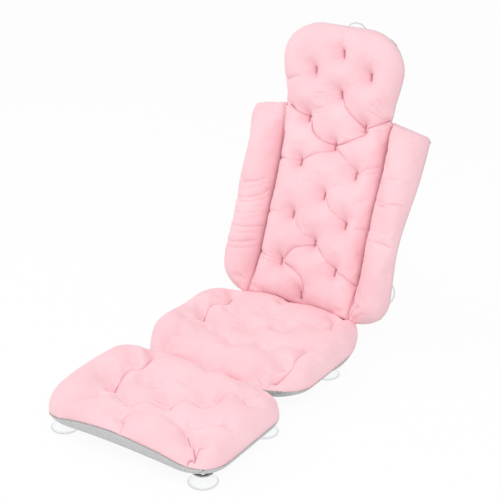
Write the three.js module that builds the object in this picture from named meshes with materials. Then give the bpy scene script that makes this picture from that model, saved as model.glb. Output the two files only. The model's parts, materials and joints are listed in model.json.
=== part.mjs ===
import * as THREE from 'three';

// A full-length bath pillow: leg, seat, back and head pads joined by sewn folds,
// with a bolster along each side of the back and suction cups underneath.
// Millimetres, +Z up. +Y points from the leg end to the head, +X to the right as
// seen from the leg end. Each pad has its own frame: x across, y along the pad
// from its fold, z from its seam plane out through the quilted side.

// Lengths along the pillow, from fold to fold
const legLength = 284;
const seatLength = 340;
const backLength = 421;
const headLength = 184;

// Half widths, and how far each pad's rounded corners run along it
const legHalfWidth = 196;
const seatHalfWidth = 193;
const headHalfWidth = 143;
const legFoldHalf = 132;
const backFoldHalf = 128;
const neckFoldHalf = 116;
const padCorner = 60;
const seatRearCorner = 125;
const seatRearPower = 1.5;
const legTipHalf = 120;
const legTipCorner = 66;
const neckCorner = 95;
const headTopHalf = 62;
const headTopCorner = 84;
const panelHalfWidth = 124;
const panelCorner = 10;
const roundPower = 2;

// Bolsters, measured from the sewn crease outward
const bolsterWidth = 80;
const bolsterFootFlat = 12;
const bolsterFootCorner = 66;
const bolsterTopCorner = 16;
const bolsterTopFlat = 64;
const bolsterFlare = 9;
const bolsterTopSlant = 10;

// Heights above the seam plane and depths below it
const padRise = 34;
const backRise = 29;
const headRise = 34;
const bolsterRise = 36;
const padDepth = 34;
const backDepth = 20;
const baseRollShare = 0.72;
const baseShoulderShare = 0.55;

// Cloth thicknesses and the gap left between neighbouring pieces
const quiltThickness = 4;
const meshThickness = 5;
const seatingGap = 0.3;

// Resting angles and how far each fold moves, in degrees
const backAngle = 69;
const neckAngle = 16;
const legLift = 60;
const backClose = 12;
const neckNod = 40;
const bolsterFoldIn = 20;

// Sewn tufts: a diamond pattern of dimples, deep in the back and shallow in the lying pads
const tuftRadius = 17;
const backTuftPullShare = 0.86;
const padTuftPullShare = 0.36;
const backTuftColumn = 65.5;
const backTuftRow = 52;
const backTuftTop = 26;
const backTuftRows = 8;
const headTuftFoot = 35;
const headTuftRow = 44;
const headTuftColumn = 64;
const headTuftRows = 3;
const legTuftColumn = 65;
const legTuftRow = 40;
const legTuftFoot = 84;
const legTuftRows = 4;
const seatTuftColumn = 61;
const seatTuftRow = 41;
const seatTuftFoot = 64;
const seatTuftRows = 6;

// Fold seams: a rolled binding on each fold's axis
const seamRadius = 2.5;
const seamSides = 8;
const creaseEndMargin = 12;
const foldReach = seamRadius + seatingGap;

// Suction cups and the sewn tabs that hold them by their knobs
const cupStand = 22;
const cupRimRadius = 27.5;
const cupRimThickness = 1.2;
const cupRimWidth = 3.5;
const cupBellRadius = 17;
const cupBellHeight = 9.5;
const cupCavityHeight = 9;
const cupCavityRadius = 14;
const cupShoulderRadius = 9;
const cupNeckRadius = 3.5;
const cupKnobRadius = 6.5;
const cupKnobHeight = 3.2;
const cupSides = 12;
const tabRadius = 19;
const tabCloth = 1.2;
const tabHem = 2.5;
const tabDrop = 5.2;
const tabFloorRadius = 9.5;
const tabSides = 10;
const legCupAcross = 159;
const seatCupAcross = 146;
const legCupRear = 45;
const legCupTipInset = 46;
const seatCupMiddle = 136;
const seatCupRear = 42;
const seatCupRearAcross = 112;
const bolsterCupLow = 70;
const bolsterCupHigh = 337;
const headCupAlong = 160;

// How finely the surfaces are divided
const columnStep = 33;
const rowStep = 26;
const hemStep = 9;
const cornerSteps = 5;

// Materials
const cloth = (color, roughness) => new THREE.MeshStandardMaterial({ color, roughness, metalness: 0 });
const quiltMaterial = cloth(0xffd2d8, 0.85);
const meshMaterial = cloth(0xc2c2c4, 0.9);
const fibreMaterial = cloth(0xf6f4f0, 0.95);
const seamMaterial = cloth(0xe8a9b4, 0.85);
const tabMaterial = cloth(0x9a9a9e, 0.8);
const vinylMaterial = new THREE.MeshStandardMaterial({
  color: 0xe9edf0,
  roughness: 0.12,
  metalness: 0,
  transparent: true,
  opacity: 0.35,
});

const radians = THREE.MathUtils.degToRad;

// A fold that closes by an angle leaves each pad a wedge of half that angle.
const wedgeSlope = (degrees) => 1 / Math.tan(radians(degrees) / 2);

// Height allowed at a distance from a fold that closes by the given angle.
const wedgeRoom = (distance, degrees) => (distance + foldReach) * wedgeSlope(degrees);

// A rounded lesser of two heights, never above either.
const lesser = (a, b) => (a <= 0 || b <= 0 ? 0 : (a ** -6 + b ** -6) ** (-1 / 6));

// Diamond pattern: even rows carry the odd columns and odd rows the even ones.
function diamondTufts({ column, columns, row, rows, foot, firstOdd, along = 1 }) {
  const tufts = [];
  for (let step = 0; step < rows; step += 1) {
    const odd = (step % 2 === 1) !== firstOdd;
    for (let index = -columns; index <= columns; index += 1) {
      if ((Math.abs(index) % 2 === 1) === odd) {
        tufts.push({ x: index * column, y: foot + along * step * row });
      }
    }
  }
  return tufts;
}

// Leg tufts stand half a column off the middle, so their columns pair up.
function shiftedTufts({ column, columns, row, rows, foot }) {
  const tufts = [];
  for (let index = -columns; index < columns; index += 1) {
    for (let step = Math.abs(index + 1) % 2; step < rows; step += 2) {
      tufts.push({ x: (index + 1 / 2) * column, y: foot + step * row });
    }
  }
  return tufts;
}

const bodyLength = (length) => length - 2 * foldReach;

const leg = {
  half: legHalfWidth,
  length: legLength - foldReach,
  startHalf: legFoldHalf,
  startCorner: padCorner,
  endHalf: legTipHalf,
  endCorner: legTipCorner,
  rise: padRise,
  depth: padDepth,
  sideFullness: 8,
  endFullness: 7,
  room: (x, y) => wedgeRoom(y, legLift),
  tuftPull: padTuftPullShare,
  tufts: shiftedTufts({
    column: legTuftColumn,
    columns: 2,
    row: legTuftRow,
    rows: legTuftRows,
    foot: legTuftFoot,
  }),
};

const seat = {
  half: seatHalfWidth,
  length: bodyLength(seatLength),
  startHalf: backFoldHalf,
  startCorner: seatRearCorner,
  startPower: seatRearPower,
  endHalf: legFoldHalf,
  endCorner: padCorner,
  rise: padRise,
  depth: padDepth,
  sideFullness: 8,
  endFullness: 7,
  room: (x, y) => Math.min(
    wedgeRoom(y, backAngle + backClose),
    wedgeRoom(bodyLength(seatLength) - y, legLift),
  ),
  tuftPull: padTuftPullShare,
  tufts: diamondTufts({
    column: seatTuftColumn,
    columns: 2,
    row: seatTuftRow,
    rows: seatTuftRows,
    foot: seatTuftFoot,
    firstOdd: true,
  }),
};

const backRoom = (y, length) => Math.min(
  wedgeRoom(y, backAngle + backClose),
  wedgeRoom(length - y, neckAngle + neckNod),
);

const back = {
  half: panelHalfWidth - foldReach,
  length: bodyLength(backLength),
  startHalf: panelHalfWidth - foldReach - panelCorner,
  startCorner: panelCorner,
  endHalf: neckFoldHalf,
  endCorner: panelCorner,
  rise: backRise,
  depth: backDepth,
  sideFullness: 6,
  endFullness: 8,
  room: (x, y) => Math.min(
    backRoom(y, bodyLength(backLength)),
    wedgeRoom(panelHalfWidth - foldReach - Math.abs(x), bolsterFoldIn),
  ),
  tuftPull: backTuftPullShare,
  tufts: diamondTufts({
    column: backTuftColumn,
    columns: 1,
    row: backTuftRow,
    rows: backTuftRows,
    foot: backLength - backTuftTop - foldReach,
    firstOdd: true,
    along: -1,
  }),
};

const head = {
  half: headHalfWidth,
  length: headLength - foldReach,
  startHalf: neckFoldHalf,
  startCorner: neckCorner,
  endHalf: headTopHalf,
  endCorner: headTopCorner,
  rise: headRise,
  depth: backDepth,
  sideFullness: 5,
  endFullness: 6,
  room: (x, y) => wedgeRoom(y, neckAngle + neckNod),
  tuftPull: backTuftPullShare,
  tufts: diamondTufts({
    column: headTuftColumn,
    columns: 1,
    row: headTuftRow,
    rows: headTuftRows,
    foot: headTuftFoot,
    firstOdd: false,
  }),
};

const bolsterHalf = (bolsterWidth - foldReach) / 2;

// The bolster's left edge is its straight sewn crease.
const bolster = {
  half: bolsterHalf,
  length: bodyLength(backLength),
  straightLeft: true,
  startHalf: bolsterFootFlat - bolsterHalf,
  startCorner: bolsterFootCorner,
  endHalf: bolsterTopFlat - bolsterHalf,
  endCorner: bolsterTopCorner,
  flare: bolsterFlare,
  slant: bolsterTopSlant,
  rise: bolsterRise,
  depth: backDepth,
  sideFullness: 3,
  endFullness: 8,
  room: (x, y) => Math.min(
    backRoom(y, bodyLength(backLength)),
    wedgeRoom(x + bolsterHalf, bolsterFoldIn),
  ),
  tufts: [],
};

// How far a rounded corner has opened at a distance from the pad's end
function cornerShare(distance, corner, power = roundPower) {
  return distance >= corner ? 1 : (1 - (1 - distance / corner) ** power) ** (1 / power);
}

// Left and right edges of a pad at a place along it
function edgesAt(pad, y) {
  const startShare = cornerShare(y, pad.startCorner, pad.startPower);
  const endShare = cornerShare(pad.length - y, pad.endCorner);
  const start = pad.startHalf + (pad.half - pad.startHalf) * startShare;
  const end = pad.endHalf + (pad.half - pad.endHalf) * endShare;
  const right = Math.min(start, end);
  return { left: pad.straightLeft ? -pad.half : -right, right };
}

// Bolsters lean outward and slope at the top; other pads stay as drawn.
function leaned(pad, x, y) {
  const outShare = (x + pad.half) / (2 * pad.half);
  const upShare = y / pad.length;
  const out = (pad.flare ?? 0) * outShare * upShare;
  const down = (pad.slant ?? 0) * outShare * upShare ** 2;
  return { x: x + out, y: y - down };
}

// Grid lines through both ends, a hem line inside each, and every tuft
function gridLines(start, end, marks, step) {
  const inside = marks.filter((mark) => mark > start + 2 * hemStep && mark < end - 2 * hemStep);
  const stops = [start, start + hemStep, ...inside, end - hemStep, end];
  const ordered = [...new Set(stops)].sort((a, b) => a - b);
  const lines = [start];
  for (let index = 1; index < ordered.length; index += 1) {
    const span = ordered[index] - ordered[index - 1];
    const pieces = Math.ceil(span / step);
    for (let piece = 1; piece <= pieces; piece += 1) {
      lines.push(ordered[index - 1] + (span * piece) / pieces);
    }
  }
  return lines;
}

const fullness = (share, power) => Math.sqrt(Math.max(0, 1 - Math.abs(share) ** power));

// Height of the quilted surface above the seam plane
function crownHeight(pad, x, y, acrossShare) {
  const alongShare = (2 * y) / pad.length - 1;
  const sides = fullness(acrossShare, pad.sideFullness);
  const ends = fullness(alongShare, pad.endFullness);
  const crown = lesser(pad.rise * sides * ends, pad.room(x, y));
  const pull = pad.tufts.reduce((kept, tuft) => {
    const reach = ((x - tuft.x) ** 2 + (y - tuft.y) ** 2) / (2 * tuftRadius ** 2);
    return kept * (1 - pad.tuftPull * Math.exp(-reach));
  }, 1);
  return crown * pull;
}

// The quilted surface as rows of points, before any offset
function quiltGrid(pad) {
  const columns = gridLines(-pad.half, pad.half, pad.tufts.map((tuft) => tuft.x), columnStep);
  const rows = gridLines(0, pad.length, pad.tufts.map((tuft) => tuft.y), rowStep);
  return rows.map((y) => columns.map((column) => {
    const { left, right } = edgesAt(pad, y);
    const acrossShare = column / pad.half;
    const x = left + ((acrossShare + 1) / 2) * (right - left);
    return new THREE.Vector3(x, y, crownHeight(pad, x, y, acrossShare));
  }));
}

const nextInside = (index, last) => Math.min(Math.max(index, 1), last - 1);

// A copy of the grid lowered by an offset, with its border drawn in by an inset
function offsetGrid(grid, offset, inset, extra) {
  const lastRow = grid.length - 1;
  const lastColumn = grid[0].length - 1;
  const level = seatingGap / 2;
  return grid.map((line, row) => line.map((point, column) => {
    const insideRow = nextInside(row, lastRow);
    const insideColumn = nextInside(column, lastColumn);
    if (insideRow === row && insideColumn === column) {
      const lowest = level + quiltThickness / 2;
      return point.clone().setZ(Math.max(point.z - offset, lowest) - extra);
    }
    const inner = grid[insideRow][insideColumn];
    const step = new THREE.Vector3(inner.x - point.x, inner.y - point.y, 0);
    const reach = step.length();
    const drawn = Math.min(inset, reach / 2) + extra;
    return new THREE.Vector3(point.x, point.y, level).addScaledVector(step, inset > 0 ? drawn / reach : 0);
  }));
}

// Indices of a grid's border, counterclockwise seen from above
function borderLoop(rows, columns) {
  const loop = [];
  for (let column = 0; column < columns - 1; column += 1) loop.push(column);
  for (let row = 0; row < rows - 1; row += 1) loop.push(row * columns + columns - 1);
  for (let column = columns - 1; column > 0; column -= 1) loop.push((rows - 1) * columns + column);
  for (let row = rows - 1; row > 0; row -= 1) loop.push(row * columns);
  return loop;
}

// Triangles over a grid whose points start at the given index; each cell's
// diagonal runs toward the nearest corner, so no corner cell lies flat.
function gridFaces(rows, columns, first, upward) {
  const faces = [];
  for (let row = 0; row < rows - 1; row += 1) {
    for (let column = 0; column < columns - 1; column += 1) {
      const a = first + row * columns + column;
      const b = a + 1;
      const c = a + columns;
      const d = c + 1;
      const nearEnds = (2 * row < rows - 1) === (2 * column < columns - 1);
      const cell = nearEnds ? [a, b, d, a, d, c] : [a, b, c, b, d, c];
      faces.push(...(upward ? cell : cell.reverse()));
    }
  }
  return faces;
}

// Triangles between two loops of equal length, the first one on top
function bandFaces(upper, lower) {
  return upper.flatMap((top, index) => {
    const next = (index + 1) % upper.length;
    return [top, lower[index], lower[next], top, lower[next], upper[next]];
  });
}

function capFaces(loop, centre, upward) {
  return loop.flatMap((corner, index) => {
    const next = loop[(index + 1) % loop.length];
    return upward ? [corner, next, centre] : [next, corner, centre];
  });
}

// One closed geometry from points and triangles, leaned and mirrored as asked
function solidFrom(pad, points, faces, mirrored) {
  const side = mirrored ? -1 : 1;
  const positions = points.flatMap((point) => {
    const place = leaned(pad, point.x, point.y);
    return [side * place.x, place.y, point.z];
  });
  const ordered = mirrored ? faces.slice().reverse() : faces;
  const geometry = new THREE.BufferGeometry();
  geometry.setAttribute('position', new THREE.Float32BufferAttribute(positions, 3));
  geometry.setIndex(ordered);
  geometry.computeVertexNormals();
  return geometry;
}

// The quilted cover: the tufted surface, its inside, and the rim between them
function coverGeometry(pad, mirrored) {
  const grid = quiltGrid(pad);
  const outer = offsetGrid(grid, 0, 0, 0);
  const inner = offsetGrid(grid, quiltThickness, quiltThickness, 0);
  const rows = grid.length;
  const columns = grid[0].length;
  const loop = borderLoop(rows, columns);
  const faces = [
    ...gridFaces(rows, columns, 0, true),
    ...gridFaces(rows, columns, rows * columns, false),
    ...bandFaces(loop, loop.map((index) => index + rows * columns)),
  ];
  return solidFrom(pad, [...outer.flat(), ...inner.flat()], faces, mirrored);
}

// A border or outline point moved toward the pad's middle by an inset
function insetPoint(pad, point, inset, z) {
  const middle = pad.length / 2;
  const x = (point.x * (pad.half - inset)) / pad.half;
  const y = middle + ((point.y - middle) * (middle - inset)) / middle;
  return new THREE.Vector3(x, y, z);
}

// The underside rolls in over this distance at the mesh base's edge.
const baseRoll = (pad) => pad.depth * baseRollShare;

// The fibre filling: under the cover's inside and down to the mesh base
function fillingGeometry(pad, mirrored) {
  const grid = quiltGrid(pad);
  const top = offsetGrid(grid, quiltThickness, quiltThickness, seatingGap);
  const rows = grid.length;
  const columns = grid[0].length;
  const border = borderLoop(rows, columns);
  const outline = border.map((index) => grid.flat()[index]);
  const rimInset = meshThickness + quiltThickness;
  const floor = meshThickness + seatingGap - pad.depth;
  const rings = [
    outline.map((point) => insetPoint(pad, point, rimInset, seatingGap / 2)),
    outline.map((point) => insetPoint(pad, point, baseRoll(pad) + rimInset, floor)),
  ];
  const middle = new THREE.Vector3(0, pad.length / 2, floor);
  const first = rows * columns;
  const ringLoop = (ring) => border.map((_, index) => first + ring * border.length + index);
  const faces = [
    ...gridFaces(rows, columns, 0, true),
    ...bandFaces(border, ringLoop(0)),
    ...bandFaces(ringLoop(0), ringLoop(1)),
    ...capFaces(ringLoop(1), first + 2 * border.length, false),
  ];
  return solidFrom(pad, [...top.flat(), ...rings.flat(), middle], faces, mirrored);
}

// The pad's outline as a loop of points, denser round its corners
function outlineLoop(pad) {
  const turn = Array.from({ length: cornerSteps + 1 }, (_, step) => step / cornerSteps);
  const rising = turn.map((share) => pad.startCorner * (1 - Math.cos((share * Math.PI) / 2)));
  const falling = turn.map((share) => pad.length - pad.endCorner * (1 - Math.sin((share * Math.PI) / 2)));
  const heights = [...rising, ...falling];
  const right = heights.map((y) => new THREE.Vector3(edgesAt(pad, y).right, y, 0));
  const left = heights.map((y) => new THREE.Vector3(edgesAt(pad, y).left, y, 0)).reverse();
  return [...right, ...left];
}

// The mesh base: a shallow dish of spacer mesh, from outside floor to inside floor
function baseGeometry(pad, mirrored) {
  const outline = outlineLoop(pad);
  const roll = baseRoll(pad);
  const rim = -seatingGap / 2;
  const shoulderInset = roll * (1 - Math.sqrt(1 - baseShoulderShare ** 2));
  const levels = [
    [0, rim],
    [shoulderInset, -pad.depth * baseShoulderShare],
    [roll, -pad.depth],
  ];
  const insideLevels = [
    [meshThickness, rim],
    [shoulderInset + meshThickness, -pad.depth * baseShoulderShare],
    [roll + meshThickness / 2, meshThickness - pad.depth],
  ];
  const rings = [...levels.slice().reverse(), ...insideLevels];
  const points = rings.flatMap(([inset, z]) => outline.map((point) => insetPoint(pad, point, inset, z)));
  const loop = (ring) => outline.map((_, index) => ring * outline.length + index);
  const middle = pad.length / 2;
  points.push(new THREE.Vector3(0, middle, -pad.depth));
  points.push(new THREE.Vector3(0, middle, meshThickness - pad.depth));
  const faces = rings.slice(1).flatMap((_, ring) => bandFaces(loop(ring + 1), loop(ring)));
  faces.push(...capFaces(loop(0), points.length - 2, false));
  faces.push(...capFaces(loop(rings.length - 1), points.length - 1, true));
  return solidFrom(pad, points, faces, mirrored);
}

function namedMesh(name, geometry, material) {
  const mesh = new THREE.Mesh(geometry, material.clone());
  mesh.name = name;
  return mesh;
}

// A pad's three pieces in the pad's own frame
function padPieces(name, pad, mirrored = false) {
  return [
    namedMesh(`${name}_quilted_cover`, coverGeometry(pad, mirrored), quiltMaterial),
    namedMesh(`${name}_fibre_filling`, fillingGeometry(pad, mirrored), fibreMaterial),
    namedMesh(`${name}_mesh_base`, baseGeometry(pad, mirrored), meshMaterial),
  ];
}

// A rolled seam binding lying on a fold's axis
function seamMesh(name, length) {
  const geometry = new THREE.CylinderGeometry(seamRadius, seamRadius, length, seamSides);
  return namedMesh(name, geometry, seamMaterial);
}

const turned = (profile, sides) => {
  const points = profile.map(([radius, height]) => new THREE.Vector2(radius, height));
  return new THREE.LatheGeometry(points, sides).rotateX(Math.PI / 2);
};

// Heights in the cup's frame, from its rim up to the pad it hangs under
const tabTop = cupStand - seatingGap;
const tabFloorTop = tabTop - tabDrop;
const tabFloor = tabFloorTop - tabCloth;

// The suction cup: knob, neck, shoulder, bell and the cavity under it
function cupGeometry() {
  const knobFoot = tabFloorTop + seatingGap;
  const shoulder = tabFloor - seatingGap;
  return turned([
    [0, cupCavityHeight],
    [cupCavityRadius, cupCavityHeight - (cupCavityRadius * cupCavityHeight) / (2 * cupRimRadius)],
    [cupRimRadius - cupRimWidth, 0],
    [cupRimRadius, 0],
    [cupRimRadius, cupRimThickness],
    [cupBellRadius, cupBellHeight],
    [cupShoulderRadius, shoulder],
    [cupNeckRadius, shoulder],
    [cupNeckRadius, knobFoot],
    [cupKnobRadius, knobFoot],
    [cupKnobRadius, knobFoot + cupKnobHeight],
    [0, knobFoot + cupKnobHeight],
  ], cupSides);
}

// The tab: a sewn cloth patch with a sunk middle and a hole for the cup's neck
function tabGeometry() {
  const hole = cupNeckRadius + seatingGap;
  return turned([
    [hole, tabFloor],
    [tabFloorRadius, tabFloor],
    [tabRadius, tabTop],
    [tabRadius - tabHem, tabTop],
    [tabFloorRadius - tabCloth, tabFloorTop],
    [hole, tabFloorTop],
    [hole, tabFloor],
  ], tabSides);
}

// A cup and its tab under a pad, standing on the pad's far side
function cupOn(name, x, y, depth) {
  const holder = new THREE.Group();
  holder.add(namedMesh(`${name}_cup`, cupGeometry(), vinylMaterial));
  holder.add(namedMesh(`${name}_cup_tab`, tabGeometry(), tabMaterial));
  holder.position.set(x, y, -depth - cupStand);
  return holder;
}

function seatGroup() {
  const group = new THREE.Group();
  const pad = new THREE.Group();
  pad.add(...padPieces('seat', seat));
  pad.position.y = foldReach;
  const legSeam = seamMesh('leg_fold_seam', 2 * legFoldHalf);
  legSeam.rotation.z = Math.PI / 2;
  legSeam.position.y = seatLength;
  const backSeam = seamMesh('back_fold_seam', 2 * backFoldHalf);
  backSeam.rotation.z = Math.PI / 2;
  group.add(pad, legSeam, backSeam);
  for (const [side, x] of [['left', 1], ['right', -1]]) {
    group.add(cupOn(`seat_middle_${side}`, x * seatCupAcross, seatCupMiddle, padDepth));
    group.add(cupOn(`seat_rear_${side}`, x * seatCupRearAcross, seatCupRear, padDepth));
  }
  return group;
}

function legGroup() {
  const group = new THREE.Group();
  const pad = new THREE.Group();
  pad.add(...padPieces('leg', leg));
  pad.position.y = foldReach;
  group.add(pad);
  for (const [side, x] of [['left', 1], ['right', -1]]) {
    group.add(cupOn(`leg_rear_${side}`, x * legCupAcross, legCupRear, padDepth));
    group.add(cupOn(`leg_front_${side}`, x * legCupAcross, legLength - legCupTipInset, padDepth));
  }
  group.position.y = seatLength;
  return group;
}

// One bolster with its crease seam and two cups; side is 1 on the right
function bolsterGroup(name, side) {
  const group = new THREE.Group();
  const pad = new THREE.Group();
  pad.add(...padPieces(name, bolster, side < 0));
  pad.position.set(side * (panelHalfWidth + foldReach + bolsterHalf), foldReach, 0);
  const seam = seamMesh(`${name}_crease_seam`, backLength - 2 * creaseEndMargin);
  seam.position.set(side * panelHalfWidth, backLength / 2, 0);
  const across = side * (panelHalfWidth + bolsterWidth / 2);
  group.add(pad, seam);
  group.add(cupOn(`${name}_low`, across, bolsterCupLow, backDepth));
  group.add(cupOn(`${name}_high`, across, bolsterCupHigh, backDepth));
  return group;
}

function headGroup() {
  const group = new THREE.Group();
  const pad = new THREE.Group();
  pad.add(...padPieces('head', head));
  pad.position.y = foldReach;
  group.add(pad, cupOn('head', 0, headCupAlong, backDepth));
  group.position.y = backLength;
  group.rotation.x = radians(neckAngle);
  return group;
}

function backGroup() {
  const group = new THREE.Group();
  const pad = new THREE.Group();
  pad.add(...padPieces('back', back));
  pad.position.y = foldReach;
  const neckSeam = seamMesh('neck_fold_seam', 2 * neckFoldHalf);
  neckSeam.rotation.z = Math.PI / 2;
  neckSeam.position.y = backLength;
  group.add(pad, neckSeam, bolsterGroup('bolster_left', -1), bolsterGroup('bolster_right', 1), headGroup());
  group.rotation.x = radians(backAngle);
  return group;
}

// The pillow stands on its cups, with the middle of its box above the origin.
const bathPillow = new THREE.Group();
const lying = new THREE.Group();
lying.add(seatGroup(), legGroup());
lying.rotation.z = Math.PI;
const standing = new THREE.Group();
standing.add(lying, backGroup());
standing.position.z = cupStand + padDepth;
bathPillow.add(standing);
bathPillow.updateMatrixWorld(true);
const middle = new THREE.Box3().setFromObject(bathPillow, true).getCenter(new THREE.Vector3());
standing.position.y = -middle.y;
bathPillow.updateMatrixWorld(true);

export default bathPillow;
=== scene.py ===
import json
import math

import bmesh
import bpy
import numpy as np
from mathutils import Matrix, Vector

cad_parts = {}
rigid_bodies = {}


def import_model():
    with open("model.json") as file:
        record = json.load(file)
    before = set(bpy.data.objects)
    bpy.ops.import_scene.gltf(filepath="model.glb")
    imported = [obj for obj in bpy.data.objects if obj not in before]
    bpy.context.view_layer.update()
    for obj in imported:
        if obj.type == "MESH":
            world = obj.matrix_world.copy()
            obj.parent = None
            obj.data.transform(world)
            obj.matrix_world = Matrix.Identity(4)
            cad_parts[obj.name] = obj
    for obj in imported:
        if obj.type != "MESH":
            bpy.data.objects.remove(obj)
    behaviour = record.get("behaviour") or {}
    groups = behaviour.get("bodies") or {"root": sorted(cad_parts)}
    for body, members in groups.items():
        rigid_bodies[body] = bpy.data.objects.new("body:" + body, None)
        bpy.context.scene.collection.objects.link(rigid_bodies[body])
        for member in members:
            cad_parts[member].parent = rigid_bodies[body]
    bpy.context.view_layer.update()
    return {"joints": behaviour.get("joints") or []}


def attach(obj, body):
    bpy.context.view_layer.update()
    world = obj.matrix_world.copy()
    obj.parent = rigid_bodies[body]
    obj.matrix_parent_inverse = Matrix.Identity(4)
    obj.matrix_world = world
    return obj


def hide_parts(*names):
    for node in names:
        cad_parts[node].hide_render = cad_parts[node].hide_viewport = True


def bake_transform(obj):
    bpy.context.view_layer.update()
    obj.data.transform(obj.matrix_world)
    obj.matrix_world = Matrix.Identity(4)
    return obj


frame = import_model()

# Bath pillow: four tufted pads of pink quilted knit on grey spacer mesh, a plain
# bolster along each side of the back, and clear suction cups underneath.
# Metres. Each pad has its own frame: x across, y along from its fold, z out of
# the quilted side from the seam plane.

# Camera, as the photograph was taken
IMAGE_SIDE = 500
FOCAL_PIXELS = 1200
SENSOR_WIDTH = 36.0
CAMERA_PLACE = Vector((1.20021, -1.77365, 1.21836))
CAMERA_TURN = math.radians(33.9)
CAMERA_DROP = math.radians(24.0)

# Pads: lengths from fold to fold, half widths and corners
FOLD_REACH = 0.0028
FOLD_GAP = 0.0008
LEG_LENGTH = 0.284
SEAT_LENGTH = 0.340
BACK_LENGTH = 0.421
HEAD_LENGTH = 0.184
PANEL_HALF = 0.124
BOLSTER_WIDTH = 0.080
NECK_HALF = 0.116

# Cloth: grid, simulation, and how far a cover may swell from its start
GRID_STEP = 0.0036
RELAX_ROUNDS = 150
SIM_FRAMES = 22
FILL_CAP = 0.016
DRAWN_MOST = 0.85

# Tacks and pleats: reach of what holds the cloth, of its slack, and of the fine creases
TACK_HALF = 0.0068
TACK_SUNK = 0.0028
TACK_HELD = 0.0024
TACK_CREASE = 0.0020
TACK_SPOT = 0.004
FULL_TUFT = 0.024
TUFT_SLACK = 0.022
PLEAT_HELD = 0.0019
PLEAT_CREASE = 0.0018
PLEAT_SUNK = 0.005
FINE_REACH = 0.006
CREASE_DEPTH = 0.004
# strength of the painted shade along the seam lines
SEWN_SHADE = 0.8

# Turned rims: how far down and how far in, of a cover and of a mesh base
COVER_TURN = (0.0025, 0.003)
MESH_TURN = (0.004, 0.004)
MESH_BELOW = 0.0008

# Lean and neck curve of the head pad, and lengths out from the bolster creases
HEAD_LEAN = 0.005
HEAD_LEAN_OVER = 0.05
NECK_CURVE = 0.026
COVER_BLEND = 0.032
BASE_BLEND = 0.020

joints = {joint["name"]: joint for joint in frame["joints"]}
BACK_FOLD = Vector(joints["back_recline"]["pos_m"])
LEG_FOLD = Vector(joints["leg_fold"]["pos_m"])
NECK_FOLD = Vector(joints["neck_tilt"]["pos_m"])
BACK_ANGLE = math.atan2(NECK_FOLD.z - BACK_FOLD.z, NECK_FOLD.y - BACK_FOLD.y)
NECK_ANGLE = math.radians(16)
UP = Vector((0, 0, 1))


def pad_frame(origin, across, along):
    """Matrix from a pad's own frame to the object's."""
    out = across.cross(along)
    matrix = Matrix((across, along, out)).transposed().to_4x4()
    matrix.translation = origin
    return matrix


LYING = (Vector((-1, 0, 0)), Vector((0, -1, 0)))
LEANING = (Vector((1, 0, 0)), Vector((0, math.cos(BACK_ANGLE), math.sin(BACK_ANGLE))))
SEAT_FRAME = pad_frame(BACK_FOLD, *LYING)
LEG_FRAME = pad_frame(LEG_FOLD, *LYING)
BACK_FRAME = pad_frame(BACK_FOLD, *LEANING)


# Sight lines of the photograph's camera

AHEAD = Vector((
    -math.sin(CAMERA_TURN) * math.cos(CAMERA_DROP),
    math.cos(CAMERA_TURN) * math.cos(CAMERA_DROP),
    -math.sin(CAMERA_DROP),
))
RIGHTWARD = Vector((math.cos(CAMERA_TURN), math.sin(CAMERA_TURN), 0))
UPWARD = RIGHTWARD.cross(AHEAD)


def seen_on(matrix, pixel, height):
    """Where the sight line of a pixel meets a pad at a height above its seam plane."""
    across, down = (value - IMAGE_SIDE / 2 for value in pixel)
    sight = AHEAD * FOCAL_PIXELS + RIGHTWARD * across - UPWARD * down
    back = matrix.inverted()
    start, way = back @ CAMERA_PLACE, back.to_3x3() @ sight
    place = start + way * ((height - start.z) / way.z)
    return place.x, place.y


# Outlines

def corner_share(distance, corner, power=2.0):
    """How far a rounded corner has opened at a distance from the pad's end."""
    left = np.clip(1 - distance / corner, 0, 1)
    return (1 - left ** power) ** (1 / power)


def eased(values, low, high):
    share = np.clip((values - low) / (high - low), 0, 1)
    return share * share * (3 - 2 * share)


class Pad:
    """One pad's outline in its own frame: a half width, and the half width, the corner
    and its roundness at the foot and at the tip. The left side may have its own, or be
    straight."""

    def __init__(self, half, start, end, foot, tip, left=None, straight_left=0):
        self.start, self.end = start, end
        self.right_side = half, foot, tip
        self.left_side = left or self.right_side
        self.straight_left = straight_left

    def reach(self, y, side):
        half, (foot_half, foot_corner, foot_power), (tip_half, tip_corner, tip_power) = side
        low = foot_half + (half - foot_half) * corner_share(y - self.start, foot_corner, foot_power)
        high = tip_half + (half - tip_half) * corner_share(self.end - y, tip_corner, tip_power)
        return np.minimum(low, high)

    def right(self, y):
        return self.reach(y, self.right_side)

    def left(self, y):
        if self.straight_left:
            return np.full_like(y, self.straight_left)
        return -self.reach(y, self.left_side)

    def edge(self, side, samples=500):
        share = (1 - np.cos(np.linspace(0, math.pi, samples))) / 2
        y = self.start + (self.end - self.start) * share
        x = self.right(y) if side > 0 else self.left(y)
        return np.stack([x, y], 1)


class BackAndHead:
    """The back panel and head pad share one quilt, narrow at the neck."""

    def __init__(self, back, head):
        self.back, self.head = back, head
        self.start, self.end = back.start, head.end

    def right(self, y):
        return np.where(y < BACK_LENGTH, self.back.right(y), self.head.right(y))

    def left(self, y):
        return np.where(y < BACK_LENGTH, self.back.left(y), self.head.left(y))

    edge = Pad.edge


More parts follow.
